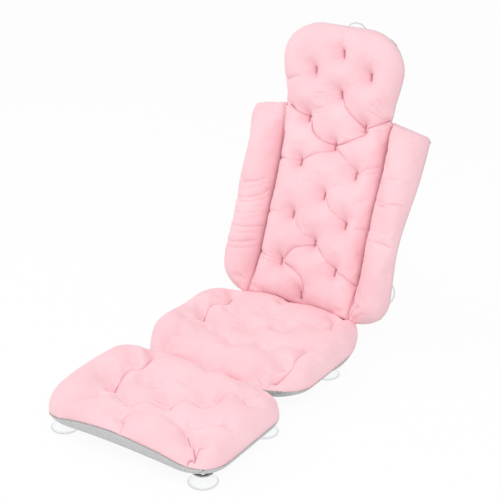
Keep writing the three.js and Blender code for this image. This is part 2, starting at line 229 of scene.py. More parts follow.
# A lying pad's own right side is on the left as seen from the leg end
LEG = Pad(
    0.196, FOLD_GAP, LEG_LENGTH, (0.125, 0.072, 1.4), (0.120, 0.066, 2),
    left=(0.196, (0.119, 0.062, 1.9), (0.120, 0.066, 2)),
)
SEAT = Pad(
    0.193, FOLD_GAP, SEAT_LENGTH - FOLD_GAP, (0.126, 0.125, 1.3), (0.125, 0.072, 1.4),
    left=(0.191, (0.128, 0.125, 1.5), (0.120, 0.072, 1.5)),
)
PANEL = Pad(PANEL_HALF - 0.0004, FOLD_GAP, BACK_LENGTH, (0.121, 0.004, 2), (NECK_HALF, 0.004, 2))
HEAD = Pad(
    0.143, BACK_LENGTH, BACK_LENGTH + HEAD_LENGTH + 0.003, (NECK_HALF, 0.100, 1.3), (0.050, 0.086, 2),
    left=(0.147, (NECK_HALF, 0.105, 1.5), (0.052, 0.085, 2.1)),
)
BACK = BackAndHead(PANEL, HEAD)
BOLSTER_HALF = (BOLSTER_WIDTH - FOLD_REACH) / 2
BOLSTER = Pad(
    BOLSTER_HALF, -0.005, BACK_LENGTH + 0.003,
    (0.012 - BOLSTER_HALF, 0.066, 2), (0.064 - BOLSTER_HALF, 0.016, 2),
    straight_left=0.0004 - BOLSTER_HALF - FOLD_REACH,
)


def resampled(line, count):
    """A polyline cut into equal steps."""
    steps = np.hypot(*np.diff(line, axis=0).T)
    travelled = np.concatenate([[0], np.cumsum(steps)])
    wanted = np.linspace(0, travelled[-1], count)
    return np.stack([np.interp(wanted, travelled, line[:, axis]) for axis in (0, 1)], 1)


def four_sides(pad, corners, inset):
    """The outline as foot, right, tip and left sides, each running the way the grid does."""
    right, left = pad.edge(1), pad.edge(-1)
    loop = np.concatenate([right, left[::-1]])
    ahead = np.roll(loop, -1, 0) - np.roll(loop, 1, 0)
    inward = np.stack([-ahead[:, 1], ahead[:, 0]], 1)
    inward /= np.maximum(np.linalg.norm(inward, axis=1, keepdims=True), 1e-9)
    for _ in range(6):
        inward = (np.roll(inward, 1, 0) + inward * 2 + np.roll(inward, -1, 0)) / 4
    inward /= np.linalg.norm(inward, axis=1, keepdims=True)
    loop = loop + inward * inset(loop[:, 0], loop[:, 1])[:, None]
    count = len(right)
    right, left = loop[:count], loop[count:][::-1]

    def cut(edge, y):
        return int(np.argmin(abs(edge[:, 1] - y)))

    foot_left, foot_right, tip_left, tip_right = corners
    low_r, high_r = cut(right, pad.start + foot_right), cut(right, pad.end - tip_right)
    low_l, high_l = cut(left, pad.start + foot_left), cut(left, pad.end - tip_left)
    foot = np.concatenate([left[:low_l + 1][::-1], right[:low_r + 1]])
    tip = np.concatenate([left[high_l:], right[high_r:][::-1]])
    return foot, right[low_r:high_r + 1], tip, left[low_l:high_l + 1]


def patch_places(pad, corners, inset):
    """Places of a grid that fills the outline, shaped (rows, columns, 2)."""
    foot, right, tip, left = four_sides(pad, corners, inset)
    width = np.hypot(*np.diff(foot, axis=0).T).sum()
    height = np.hypot(*np.diff(right, axis=0).T).sum()
    columns = int(round(max(width, 2 * np.max(right[:, 0])) / GRID_STEP)) + 1
    rows = int(round(height / GRID_STEP)) + 1
    foot, tip = resampled(foot, columns), resampled(tip, columns)
    right, left = resampled(right, rows), resampled(left, rows)
    s = np.linspace(0, 1, columns)[None, :, None]
    t = np.linspace(0, 1, rows)[:, None, None]
    places = (1 - t) * foot[None] + t * tip[None] + (1 - s) * left[:, None] + s * right[:, None]
    places -= (1 - t) * ((1 - s) * foot[0] + s * foot[-1]) + t * ((1 - s) * tip[0] + s * tip[-1])
    for _ in range(RELAX_ROUNDS):
        around = places[:-2, 1:-1] + places[2:, 1:-1] + places[1:-1, :-2] + places[1:-1, 2:]
        places[1:-1, 1:-1] = around / 4
    return places


def distance_to_line(points, line):
    """Distance from each point to a polyline, and how far along it the nearest place is."""
    best = np.full(len(points), 1e9)
    along = np.zeros(len(points))
    lengths = np.hypot(*np.diff(line, axis=0).T)
    total = max(lengths.sum(), 1e-9)
    travelled = 0.0
    for a, b, length in zip(line[:-1], line[1:], lengths):
        step = b - a
        share = np.clip(((points - a) @ step) / max(length ** 2, 1e-12), 0, 1)
        gap = np.linalg.norm(points - a - share[:, None] * step, axis=1)
        nearer = gap < best
        best = np.where(nearer, gap, best)
        along = np.where(nearer, (travelled + share * length) / total, along)
        travelled += length
    return best, along


def softened(line, rounds=3):
    """A line with its corners cut, and its ends kept."""
    line = np.array(line, float)
    for _ in range(rounds):
        near, far = line[:-1] * 0.75 + line[1:] * 0.25, line[:-1] * 0.25 + line[1:] * 0.75
        line = np.concatenate([line[:1], np.stack([near, far], 1).reshape(-1, 2)[1:-1], line[-1:]])
    return line


# Cloth

def linked(name, mesh):
    piece = bpy.data.objects.new(name, mesh)
    bpy.context.scene.collection.objects.link(piece)
    return piece


def mesh_from(bm, name):
    mesh = bpy.data.meshes.new(name)
    bm.to_mesh(mesh)
    bm.free()
    return mesh


def coordinates(mesh):
    values = np.zeros(len(mesh.vertices) * 3, np.float32)
    mesh.vertices.foreach_get("co", values)
    return values.reshape(-1, 3).astype(float)


def place_vertices(mesh, places):
    mesh.vertices.foreach_set("co", np.asarray(places, np.float32).ravel())
    mesh.update()


def weighted(piece, name, weights):
    """A vertex group from an array of weights, in steps of a tenth."""
    group = piece.vertex_groups.new(name=name)
    steps = np.round(weights, 1)
    for weight in np.unique(steps[steps > 0]):
        members = [int(index) for index in np.nonzero(steps == weight)[0]]
        group.add(members, float(weight), "REPLACE")
    return group


def puffed(piece, held, slack, growth, pressure, stiffness):
    """Vertex places after the held cloth is blown up from below like filled fabric."""
    groups = weighted(piece, "held", held), weighted(piece, "slack", slack)
    cloth = piece.modifiers.new("Filling", "CLOTH")
    settings = cloth.settings
    settings.quality = 5
    settings.mass = 0.1
    settings.tension_stiffness = 20
    settings.compression_stiffness = 20
    settings.shear_stiffness = 8
    settings.bending_stiffness = stiffness
    settings.tension_damping = 5
    settings.compression_damping = 5
    settings.shear_damping = 5
    settings.bending_damping = 0.5
    settings.air_damping = 2
    settings.pin_stiffness = 3
    settings.use_pressure = True
    settings.uniform_pressure_force = pressure
    settings.vertex_group_shrink = "slack"
    settings.shrink_min, settings.shrink_max = -growth[0], -growth[1]
    settings.effector_weights.gravity = 0
    settings.vertex_group_mass = "held"
    cloth.point_cache.frame_start = 1
    cloth.point_cache.frame_end = SIM_FRAMES
    for step in range(1, SIM_FRAMES + 1):
        bpy.context.scene.frame_set(step)
    settled = piece.evaluated_get(bpy.context.evaluated_depsgraph_get())
    places = coordinates(settled.data)
    bpy.context.scene.frame_set(1)
    piece.modifiers.remove(cloth)
    for group in groups:
        piece.vertex_groups.remove(group)
    return places


def point_attribute(mesh, name, values, kind="FLOAT"):
    attribute = mesh.attributes.new(name, kind, "POINT")
    field = "value" if kind == "FLOAT" else "vector"
    attribute.data.foreach_set(field, np.asarray(values, np.float32).ravel())


def read_vectors(mesh, name):
    values = np.zeros(len(mesh.vertices) * 3, np.float32)
    mesh.attributes[name].data.foreach_get("vector", values)
    return values.reshape(-1, 3).astype(float)


def applied(piece):
    """The piece with its modifiers made part of its mesh."""
    settled = piece.evaluated_get(bpy.context.evaluated_depsgraph_get())
    mesh = bpy.data.meshes.new_from_object(settled)
    piece.modifiers.clear()
    old = piece.data
    piece.data = mesh
    bpy.data.meshes.remove(old)
    return piece


def shaded_smooth(piece):
    for face in piece.data.polygons:
        face.use_smooth = True
    return piece


def smoothed(piece):
    smooth = piece.modifiers.new("Smooth", "SUBSURF")
    smooth.levels = smooth.render_levels = 1
    return shaded_smooth(applied(piece))


def closed_inside(mesh, drop, draw_in, low=None, cuts=()):
    """Turns an open skin's rim inward and closes it; drop and low are along the pad's own z.
    The closing face is cut across where the pad bends: at each (axis, distance)."""
    bm = bmesh.new()
    bm.from_mesh(mesh)
    flat = bm.verts.layers.float_vector["flat"]

    def spot(vert):
        return tuple(round(value, 5) for value in vert[flat][:2])

    rim = [edge for edge in bm.edges if edge.is_boundary]
    inward = {}
    for edge in rim:
        around = edge.link_faces[0].verts
        middle = sum((vert[flat] for vert in around), Vector()) / len(around)
        aside = middle - (edge.verts[0][flat] + edge.verts[1][flat]) / 2
        for vert in edge.verts:
            inward[spot(vert)] = inward.get(spot(vert), Vector()) + aside.normalized()
    for down, aside in ((drop, draw_in), (drop * 0.2, draw_in * 2)):
        made = bmesh.ops.extrude_edge_only(bm, edges=rim)
        rim = [item for item in made["geom"] if isinstance(item, bmesh.types.BMEdge)]
        for vert in {vert for edge in rim for vert in edge.verts}:
            vert.co += inward[spot(vert)].normalized() * aside - UP * down
    if low is not None:
        for vert in {vert for edge in rim for vert in edge.verts}:
            vert.co.z = min(vert.co.z, low)
    shut = bmesh.ops.triangle_fill(bm, edges=rim, use_beauty=False)["geom"]
    faces = [item for item in shut if isinstance(item, bmesh.types.BMFace)]
    for axis, distance in cuts:
        way = Vector((0, 0, 0))
        way[axis] = 1
        edges = {edge for face in faces for edge in face.edges}
        verts = {vert for face in faces for vert in face.verts}
        cut = bmesh.ops.bisect_plane(
            bm, geom=faces + list(edges) + list(verts), plane_co=way * distance, plane_no=way,
        )["geom"]
        faces = [item for item in cut if isinstance(item, bmesh.types.BMFace)]
    bmesh.ops.recalc_face_normals(bm, faces=bm.faces)
    bm.to_mesh(mesh)
    bm.free()


def grid_piece(name, places, heights):
    """A skin over a grid of places, with its heights and a flat map of the cloth."""
    rows, columns = places.shape[:2]
    bm = bmesh.new()
    bmesh.ops.create_grid(bm, x_segments=columns - 1, y_segments=rows - 1, size=0.5)
    piece = linked(name, mesh_from(bm, name))
    start = np.column_stack([places.reshape(-1, 2), heights])
    place_vertices(piece.data, start)
    point_attribute(piece.data, "flat", start * (1, 1, 0), "FLOAT_VECTOR")
    return piece, start


def lay_cloth_map(piece, rows, columns):
    """Unrolls the skin by the distances along its own grid lines."""
    grid = coordinates(piece.data).reshape(rows, columns, 3)
    across = np.pad(np.linalg.norm(np.diff(grid, axis=1), axis=2).cumsum(1), ((0, 0), (1, 0)))
    along = np.pad(np.linalg.norm(np.diff(grid, axis=0), axis=2).cumsum(0), ((1, 0), (0, 0)))
    across -= across[:, columns // 2][:, None]
    along -= along[rows // 2][None]
    cloth_map = piece.data.uv_layers.new(name="cloth")
    corner_vertex = np.zeros(len(piece.data.loops), np.int32)
    piece.data.loops.foreach_get("vertex_index", corner_vertex)
    unrolled = np.column_stack([across.ravel(), along.ravel()])[corner_vertex]
    cloth_map.data.foreach_set("uv", unrolled.astype(np.float32).ravel())


def rim_of(places):
    """The grid's border as a closed line."""
    return np.concatenate([places[0], places[1:, -1], places[-1, :-1][::-1], places[:-1, 0][::-1]])


def tack_line(x, y, half=TACK_HALF):
    return np.array([[x, y - half], [x, y + half]])


def refined_near(mesh, lines, near):
    """Halves the faces close to the pleats and tacks, for fine creases."""
    bm = bmesh.new()
    bm.from_mesh(mesh)
    flat = read_vectors(mesh, "flat")[:, :2]
    close = np.zeros(len(flat), bool)
    for line in lines:
        close |= distance_to_line(flat, line)[0] < near
    bm.verts.ensure_lookup_table()
    edges = [edge for edge in bm.edges if close[edge.verts[0].index] and close[edge.verts[1].index]]
    bmesh.ops.subdivide_edges(bm, edges=edges, cuts=1, use_grid_fill=True)
    bm.to_mesh(mesh)
    bm.free()


def quilt(name, swell, corners, tufts, pleats, inset, limit, growth=(0.02, 0.07), pressure=5,
          stiffness=0.5, reach=0.014, extra_slack=None, tack_half=TACK_HALF, valley=(0.007, 0.010),
          hold=0.3, low=None, seam_shade_line=None, cuts=(), tack_shade=1.0):
    """A pad's quilted cover, filled and tacked down, in the pad's own frame."""
    places = patch_places(swell.pad, corners, inset)
    rows, columns = places.shape[:2]
    flat = places.reshape(-1, 2)
    inside, _ = distance_to_line(flat, rim_of(places))
    seam = swell.seam_height(flat)
    height = swell.heights(flat, inside)
    held = np.where(inside < 1e-5, 1.0, 0.0)
    slack = np.zeros(len(flat)) if extra_slack is None else extra_slack(flat)
    drawn = np.zeros(len(flat))
    for line, depth in pleats:
        gap, along = distance_to_line(flat, line)
        depth = depth * (1 - 0.45 * np.sin(np.clip(along, 0, 1) * math.pi))
        drawn = np.maximum(drawn, depth * valley[1] * np.exp(-(gap / valley[0]) ** 1.6))
        held = np.maximum(held, np.where(gap < PLEAT_HELD, hold * depth, 0))
    for x, y, depth in tufts:
        gap, _ = distance_to_line(flat, tack_line(x, y, tack_half))
        drawn = np.maximum(drawn, depth * np.exp(-(gap / reach) ** 1.3))
        held = np.maximum(held, np.where(gap < TACK_HELD, 1.0, 0))
        slack = np.maximum(slack, np.exp(-(gap / TUFT_SLACK) ** 2))
    height -= np.minimum(drawn, DRAWN_MOST * (height - seam))
    piece, start = grid_piece(name, places, height)
    settled = start
    settled = puffed(piece, held, slack, growth, pressure, stiffness)
    moved = settled - start
    far = np.linalg.norm(moved, axis=1, keepdims=True)
    settled = start + moved * np.minimum(1, FILL_CAP / np.maximum(far, 1e-9))
    settled = limit(settled)
    place_vertices(piece.data, settled)
    lay_cloth_map(piece, rows, columns)
    sewn = []
    for x, y, _ in tufts:
        near = np.hypot(flat[:, 0] - x, flat[:, 1] - y) < TACK_SPOT
        sewn.append(Vector((x, y, float(settled[near, 2].mean()))))
    smoothed(piece)

    lines = [line for line, _ in pleats] + [tack_line(x, y, tack_half) for x, y, _ in tufts]
    refined_near(piece.data, lines, FINE_REACH)
    flat = read_vectors(piece.data, "flat")[:, :2]
    shaped = coordinates(piece.data)
    # crease: how deep each fine groove is cut, and also the painted shade the knit's colour darkens by
    crease = np.zeros(len(flat))
    for line, depth in pleats:
        gap, along = distance_to_line(flat, line)
        depth = depth * (1 - 0.35 * np.sin(np.clip(along, 0, 1) * math.pi))
        crease = np.maximum(crease, depth * np.exp(-(gap / PLEAT_CREASE) ** 2))
    for x, y, depth in tufts:
        gap, _ = distance_to_line(flat, tack_line(x, y, tack_half))
        shade = tack_shade * min(1, depth / FULL_TUFT)
        crease = np.maximum(crease, shade * np.exp(-(gap / TACK_CREASE) ** 2))
    shaped[:, 2] -= CREASE_DEPTH * crease
    # painted shade only: a dark line along the seam, in the colour and not in the shape
    if seam_shade_line is not None:
        crease = np.maximum(crease, SEWN_SHADE * seam_shade_line(flat))
    place_vertices(piece.data, shaped)
    # the crease weight is kept for the knit's painted shade
    point_attribute(piece.data, "crease", crease)
    closed_inside(piece.data, *COVER_TURN, low, cuts)
    return shaded_smooth(piece), sewn


def mesh_base(name, pad, corners, depth, seam_height, roll, inset, tuck=2.2, low=None, cuts=()):
    """The spacer mesh under a pad: a shallow dish that rolls under from its seam."""
    places = patch_places(pad, corners, inset)
    rows, columns = places.shape[:2]
    flat = places.reshape(-1, 2)
    inside, _ = distance_to_line(flat, rim_of(places))
    seam = seam_height(flat) - MESH_BELOW
    height = seam - (depth + seam) * corner_share(inside, roll(flat), tuck)
    piece, _ = grid_piece(name, places, height)
    lay_cloth_map(piece, rows, columns)
    smoothed(piece)
    bm = bmesh.new()
    bm.from_mesh(piece.data)
    bmesh.ops.reverse_faces(bm, faces=bm.faces)
    bm.to_mesh(piece.data)
    bm.free()
    closed_inside(piece.data, *MESH_TURN, low, cuts)
    return shaded_smooth(piece)


def set_down(piece, matrix):
    """Moves a finished mesh from its pad's frame to its place."""
    piece.data.transform(matrix)
    piece.data.update()
    return piece


def bent_at_neck(piece):
    """Nods everything beyond the neck fold, round a short curve."""
    places = coordinates(piece.data)
    y, z = places[:, 1].copy(), places[:, 2].copy()
    ruler = np.linspace(-0.05, HEAD_LENGTH + 0.05, 1200)
    angle = NECK_ANGLE * eased(ruler, -NECK_CURVE, NECK_CURVE)
    step = ruler[1] - ruler[0]
    line_y = np.cumsum(np.cos(angle)) * step
    line_z = np.cumsum(np.sin(angle)) * step
    line_y += ruler[0] - line_y[0]
    line_z -= line_z[0]
    beyond = y - BACK_LENGTH
    inside = beyond > ruler[0]
    there = np.interp(beyond, ruler, angle)
    new_y = np.interp(beyond, ruler, line_y) - z * np.sin(there)
    new_z = np.interp(beyond, ruler, line_z) + z * np.cos(there)
    places[:, 1] = np.where(inside, BACK_LENGTH + new_y, y)
    places[:, 2] = np.where(inside, new_z, z)
    place_vertices(piece.data, places)
    return piece


# Small sewn and moulded pieces

STITCHES = 11
STITCH_RADIUS = 0.0008
STITCH_FORM = (1.7, 0.62, 0.6)
STITCH_LEAN = 0.28


def stitched_tacks(name, places, half=TACK_HALF):
    """Bar tacks: short rows of thread that hold the tufts down, in the pad's frame."""
    bm = bmesh.new()
    for place in places:
        for stitch in range(STITCHES):
            share = (stitch + 0.5) / STITCHES * 2 - 1
            turn = Matrix.Rotation(STITCH_LEAN if stitch % 2 else -STITCH_LEAN, 3, "Z")
            verts = bmesh.ops.create_icosphere(bm, subdivisions=1, radius=STITCH_RADIUS)["verts"]
            bmesh.ops.scale(bm, verts=verts, vec=STITCH_FORM)
            bmesh.ops.rotate(bm, verts=verts, cent=(0, 0, 0), matrix=turn)
            lift = STITCH_RADIUS * share ** 2 - TACK_SUNK
            bmesh.ops.translate(bm, verts=verts, vec=place + Vector((0, share * half, lift)))
    return shaded_smooth(linked(name, mesh_from(bm, name)))


def spun(name, profile, steps=56):
    """A turned piece from its closed or axis-to-axis profile of radius and height."""
    bm = bmesh.new()
    verts = [bm.verts.new((radius, 0, height)) for radius, height in profile]
    edges = [bm.edges.new(pair) for pair in zip(verts[:-1], verts[1:])]
    if profile[0][0] > 0:
        edges.append(bm.edges.new((verts[-1], verts[0])))
    bmesh.ops.spin(bm, geom=verts + edges, cent=(0, 0, 0), axis=(0, 0, 1), angle=math.tau,
                   steps=steps, use_merge=True)
    bmesh.ops.remove_doubles(bm, verts=bm.verts, dist=0.00002)
    bmesh.ops.recalc_face_normals(bm, faces=bm.faces)
    return shaded_smooth(linked(name, mesh_from(bm, name)))


# Seams: where the pink cloth meets the grey mesh, as heights above the seam plane

SIDE_SEAM = -0.019
BACK_SEAM = -0.012
FOLD_RISE = 0.045


def leg_seam(flat):
    """Low along the sides, level with the fold, and raised along the tip, most to its left."""
    x, y = flat[:, 0], flat[:, 1]
    tip = eased(y, LEG_LENGTH - 0.08, LEG_LENGTH - 0.02)
    raised = np.cos(np.clip(np.abs(x + 0.002) / 0.178, 0, 1) * math.pi / 2) ** 1.1
    left = eased(x, 0.02, 0.15) * eased(y, LEG_LENGTH - 0.12, LEG_LENGTH - 0.02)
    right = eased(-x, 0.04, 0.13) * (0.002 + 0.005 * tip)
    return SIDE_SEAM * eased(y, 0, FOLD_RISE) + 0.031 * tip * raised + 0.004 * left + right


def seat_seam(flat):
    """Higher along the right side, and most at its front corner."""
    x, y = flat[:, 0], flat[:, 1]
    right = eased(-x, 0.04, 0.15)
    low = SIDE_SEAM * (1 - right * (0.58 + 0.08 * eased(y, 0.20, 0.30) + 0.14 * (1 - eased(y, 0.05, 0.12))))
    return low * eased(y, 0, 2 * FOLD_RISE) * eased(SEAT_LENGTH - y, 0, FOLD_RISE)


def crease_rise(left, y):
    """How far each crease comes forward out of its valley toward its ends."""
    foot = 0.028 * (1 - eased(y, 0, 0.11))
    top = np.where(left, 0.034 * eased(y, 0.30, BACK_LENGTH), 0.008 * eased(y, 0.37, BACK_LENGTH))
    return foot + top * (1 - eased(y, BACK_LENGTH, BACK_LENGTH + 0.05))


def panel_seam(flat):
    x, y = flat[:, 0], flat[:, 1]
    fold = 0.010 * (1 - eased(y, 0, FOLD_RISE))
    return BACK_SEAM + np.maximum(fold, crease_rise(x < 0, y) * eased(np.abs(x), 0.07, NECK_HALF))


def bolster_seam(side):
    def seam(flat):
        near = 1 - eased(flat[:, 0], -BOLSTER_HALF, 0.2 * BOLSTER_HALF)
        return BACK_SEAM + crease_rise(side == "left", flat[:, 1]) * near
    return seam


def leg_roll(flat):
    return 0.030 + 0.024 * eased(flat[:, 1], LEG_LENGTH - 0.09, LEG_LENGTH - 0.03)


def seat_roll(flat):
    """Wide, so that little of the mesh shows, but narrow where a cup's tab is sewn on."""
    x, y = flat[:, 0], flat[:, 1]
    wide = 0.056 - 0.026 * np.exp(-((y - 0.136) / 0.035) ** 2) - 0.020 * np.exp(-((y - 0.042) / 0.03) ** 2)
    return wide * (1 - 0.38 * eased(-x, 0.05, 0.15))


def even_roll(width):
    return lambda flat: np.full(len(flat), width)


def leg_fuller(flat):
    """The leg pad's left side is fuller, and its top slopes down to the seat's fold."""
    x, y = flat[:, 0], flat[:, 1]
    left = 0.011 * eased(x, 0.05, 0.15) * (1 - eased(y, 0.17, 0.26)) * eased(y, 0.01, 0.06)
    return left - (0.007 + 0.008 * eased(-x, 0.06, 0.13)) * (1 - eased(y, 0.01, 0.07))


def seat_fuller(flat):
    """So is the seat's, which slopes down to the back's fold, most on the right."""
    x, y = flat[:, 0], flat[:, 1]
    left = 0.015 * eased(x, 0.05, 0.15) * eased(y, 0.05, 0.11) * (1 - eased(y, 0.27, 0.33))
    fold = (0.008 + 0.007 * eased(-x, 0, 0.09)) * (1 - eased(y, 0.02, 0.11))
    fold += 0.014 * eased(x, 0.04, 0.11) * (1 - eased(y, 0.02, 0.08))
    tip = (0.005 + 0.006 * eased(np.abs(x), 0.06, 0.13)) * eased(y, SEAT_LENGTH - 0.06, SEAT_LENGTH - 0.01)
    return left - fold - tip


# How far each quilt's sewn rim lies inside the pad's outline
FREE_INSET = 0.005
SEWN_INSET = 0.0003
LYING_INSET = 0.0005
BOLSTER_INSET = 0.0035


def lying_inset(x, y):
    return np.full(np.shape(x), LYING_INSET)


def back_inset(x, y):
    return SEWN_INSET + (FREE_INSET - SEWN_INSET) * eased(y, BACK_LENGTH, BACK_LENGTH + 0.04)


def bolster_inset(x, y):
    foot, top = eased(FOLD_REACH + 0.02 - y, 0, 0.02), eased(y, BACK_LENGTH - 0.02, BACK_LENGTH - 0.003)
    out = eased(x, -BOLSTER_HALF, -BOLSTER_HALF + 0.02)
    return SEWN_INSET + (BOLSTER_INSET - SEWN_INSET) * np.maximum(out, np.maximum(foot, top) * 0.6)


CREASE_SIDE = PANEL_HALF - 0.0003
# width of the painted shade lines along the bolster creases
CREASE_WIDTH = 0.0028
NECK_CUTS = [(1, BACK_LENGTH + beyond) for beyond in (-0.03, -0.02, -0.01, 0, 0.01, 0.02, 0.03)]
LEG_CUTS = [(1, beyond) for beyond in (0.011, 0.022, 0.033, 0.044, 0.055)]
BOLSTER_CUTS = [(0, beyond - BOLSTER_HALF) for beyond in (0.008, 0.016, 0.024, 0.032, 0.044, 0.056, 0.067)]
BOLSTER_CUTS += [(1, share / 16 * BACK_LENGTH) for share in range(1, 16)]
COVER_LOW = BACK_SEAM - 0.001
MESH_LOW = BACK_SEAM - 0.002


def panel_seam_shade(flat):
    """The shaded line where the panel meets its bolsters."""
    line = np.exp(-((CREASE_SIDE - np.abs(flat[:, 0])) / CREASE_WIDTH) ** 2)
    return line * (1 - eased(flat[:, 1], BACK_LENGTH - 0.01, BACK_LENGTH))


# Painted shade where the bolster meets the panel.
def bolster_seam_shade(flat):
    return np.exp(-((flat[:, 0] + BOLSTER_HALF + FOLD_REACH) / CREASE_WIDTH) ** 2)


def kept_within(axis, low=-1.0, high=1.0):
    """Stops a cover at a line across its pad."""
    def limit(places):
        places = places.copy()
        places[:, axis] = np.clip(places[:, axis], low, high)
        return places
    return limit


LIMIT_GAP = 0.0004
leg_limit = kept_within(1, low=LIMIT_GAP)
seat_limit = kept_within(1, high=SEAT_LENGTH - LIMIT_GAP)
bolster_limit = kept_within(0, low=-BOLSTER_HALF - FOLD_REACH + LIMIT_GAP)


def back_limit(places):
    """The panel stops at its sewn creases, up to the neck."""
    places = places.copy()
    stop = CREASE_SIDE + 0.05 * eased(places[:, 1], BACK_LENGTH - 0.004, BACK_LENGTH + 0.03)
    places[:, 0] = np.clip(places[:, 0], -stop, stop)
    return places


class Swell:
    """A pad's swelling top, on which the photograph's tufts and pleats are found."""

    def __init__(self, pad, matrix, seam_height, rise, wall, along=0.0, hollow=0.0, fuller=None):
        self.pad, self.matrix, self.along, self.fuller = pad, matrix, along, fuller
        self.seam_height, self.rise, self.wall, self.hollow = seam_height, rise, wall, hollow
        self.outline = np.concatenate([pad.edge(1), pad.edge(-1)[::-1]])

    def heights(self, flat, inside):
        seam = self.seam_height(flat)
        middle = self.hollow * eased(inside, 0.05, 0.10)
        rise = self.rise + (self.fuller(flat) if self.fuller else 0)
        return seam + (rise - seam) * corner_share(inside, self.wall) - middle

    def find(self, pixel, sunk):
        """Where a pixel meets the top, or the bottom of a dimple sunk in it."""
        height = self.rise - sunk
        for _ in range(14):
            x, y = seen_on(self.matrix, pixel, height)
            place = np.array([[x, y + self.along]])
            inside = np.hypot(*(self.outline - place).T).min(keepdims=True)
            height += 0.4 * (float(self.heights(place, inside)[0]) - sunk - height)
        return place[0]

    def tufts(self, pixels):
        return [(*self.find((across, down), depth), depth) for across, down, depth in pixels]

    def pleats(self, pixels):
        return [
            (softened([self.find(pixel, PLEAT_SUNK) for pixel in line]), depth)
            for line, depth in pixels
        ]


# Tufts and pleats, by where the photograph shows them: pixel, and how deep

HEAD_FRAME = BACK_FRAME @ Matrix.Translation((0, BACK_LENGTH, 0)) @ Matrix.Rotation(NECK_ANGLE, 4, "X")
MIRROR = Matrix.Scale(-1, 4, Vector((1, 0, 0)))
BOLSTER_SHIFT = Matrix.Translation((PANEL_HALF + FOLD_REACH + BOLSTER_HALF, 0, 0))
BOLSTER_FRAMES = {"left": BACK_FRAME @ MIRROR @ BOLSTER_SHIFT, "right": BACK_FRAME @ BOLSTER_SHIFT}

HEAD_TUFT_PIXELS = [(345, 54, 0.026), (317, 70, 0.026), (372, 77.5, 0.026), (342.5, 95, 0.026)]
BACK_TUFT_PIXELS = [
    (310.5, 118, 0.027), (366, 129.5, 0.027), (336, 146.5, 0.028), (302, 162, 0.026), (356.5, 176.5, 0.025),
    (325, 196.5, 0.026), (294, 214.5, 0.026), (346, 226, 0.025), (315.5, 243.5, 0.027), (282.5, 261, 0.027),
    (335.5, 273, 0.026), (301, 295, 0.026),
]
SEAT_TUFT_PIXELS = [
    (203.5, 315.5, 0.025), (226.5, 300, 0.015), (218, 330.5, 0.012), (240, 312, 0.011), (270, 315, 0.011),
    (247, 330, 0.011), (286, 328.5, 0.012), (231, 346, 0.014), (272, 348, 0.012), (300, 347.5, 0.014),
    (284, 371, 0.024), (322, 327, 0.012), (332, 323, 0.012), (206, 364.5, 0.014), (290, 303, 0.012),
]
LEG_TUFT_PIXELS = [
    (112, 386, 0.028), (138, 366, 0.020), (154, 384, 0.018), (195, 385, 0.012), (129, 403.5, 0.018),
    (168.5, 405, 0.022), (205, 403, 0.016), (245.5, 399, 0.018), (137, 413.5, 0.016), (195, 447, 0.035),
    (213, 424.5, 0.014), (121, 417, 0.018),
]
BACK_PLEAT_PIXELS = [
    ([(310.5, 120), (312, 130), (318, 138), (327, 143.5), (336, 145)], 1.0),
    ([(336, 145), (346, 143), (356, 138), (366, 131)], 1.0),
    ([(336, 149), (325, 151), (312, 155), (302, 159)], 0.75),
    ([(301, 160), (291, 159), (278, 157)], 0.65),
    ([(337, 150), (345, 159), (352, 168), (356, 174)], 0.7),
    ([(357, 174), (366, 170), (378, 168)], 0.5),
    ([(358, 178), (367, 175), (377, 174)], 0.35),
    ([(325, 199), (329, 208), (336, 216), (345, 225)], 0.7),
    ([(294, 217), (297, 226), (304, 235), (315, 242)], 0.55),
    ([(293, 214), (283, 212), (268, 211)], 0.4),
    ([(347, 227), (356, 230), (367, 231)], 0.4),
    ([(315, 245), (306, 245), (296, 247), (288, 252), (283, 259)], 0.85),
    ([(282, 262), (273, 258), (259, 249.5)], 0.65),
    ([(282, 264), (273, 263), (262, 257)], 0.35),
    ([(316, 246), (322, 255), (328, 264), (335, 272)], 0.8),
    ([(336, 273), (344, 277), (355, 286)], 0.8),
    ([(284, 263), (292, 268), (300, 276), (303, 285), (301, 293)], 0.85),
    ([(291.5, 103), (297, 110), (304, 115), (310.5, 116)], 1.0),
    ([(366, 128.5), (377, 125), (389, 121)], 1.0),
]
HEAD_PLEAT_PIXELS = [
    ([(343, 60), (338, 70), (338, 80), (342, 92)], 0.35),
    ([(315, 72), (303, 75), (290, 80)], 0.45),
    ([(341, 30), (343, 38), (345, 47)], 0.35),
    ([(320, 94), (330, 93), (338, 93)], 0.22),
    ([(318, 98), (329, 97), (338, 96)], 0.2),
    ([(314, 112), (326, 108), (338, 100)], 0.25),
    ([(318, 116), (330, 112), (342, 104)], 0.2),
    ([(320, 70), (330, 66), (338, 60)], 0.15),
    ([(389, 119), (382, 113), (374, 105)], 0.2),
    ([(388, 121), (379, 117), (370, 111)], 0.2),
    ([(390, 117), (386, 109), (380, 101)], 0.15),
]
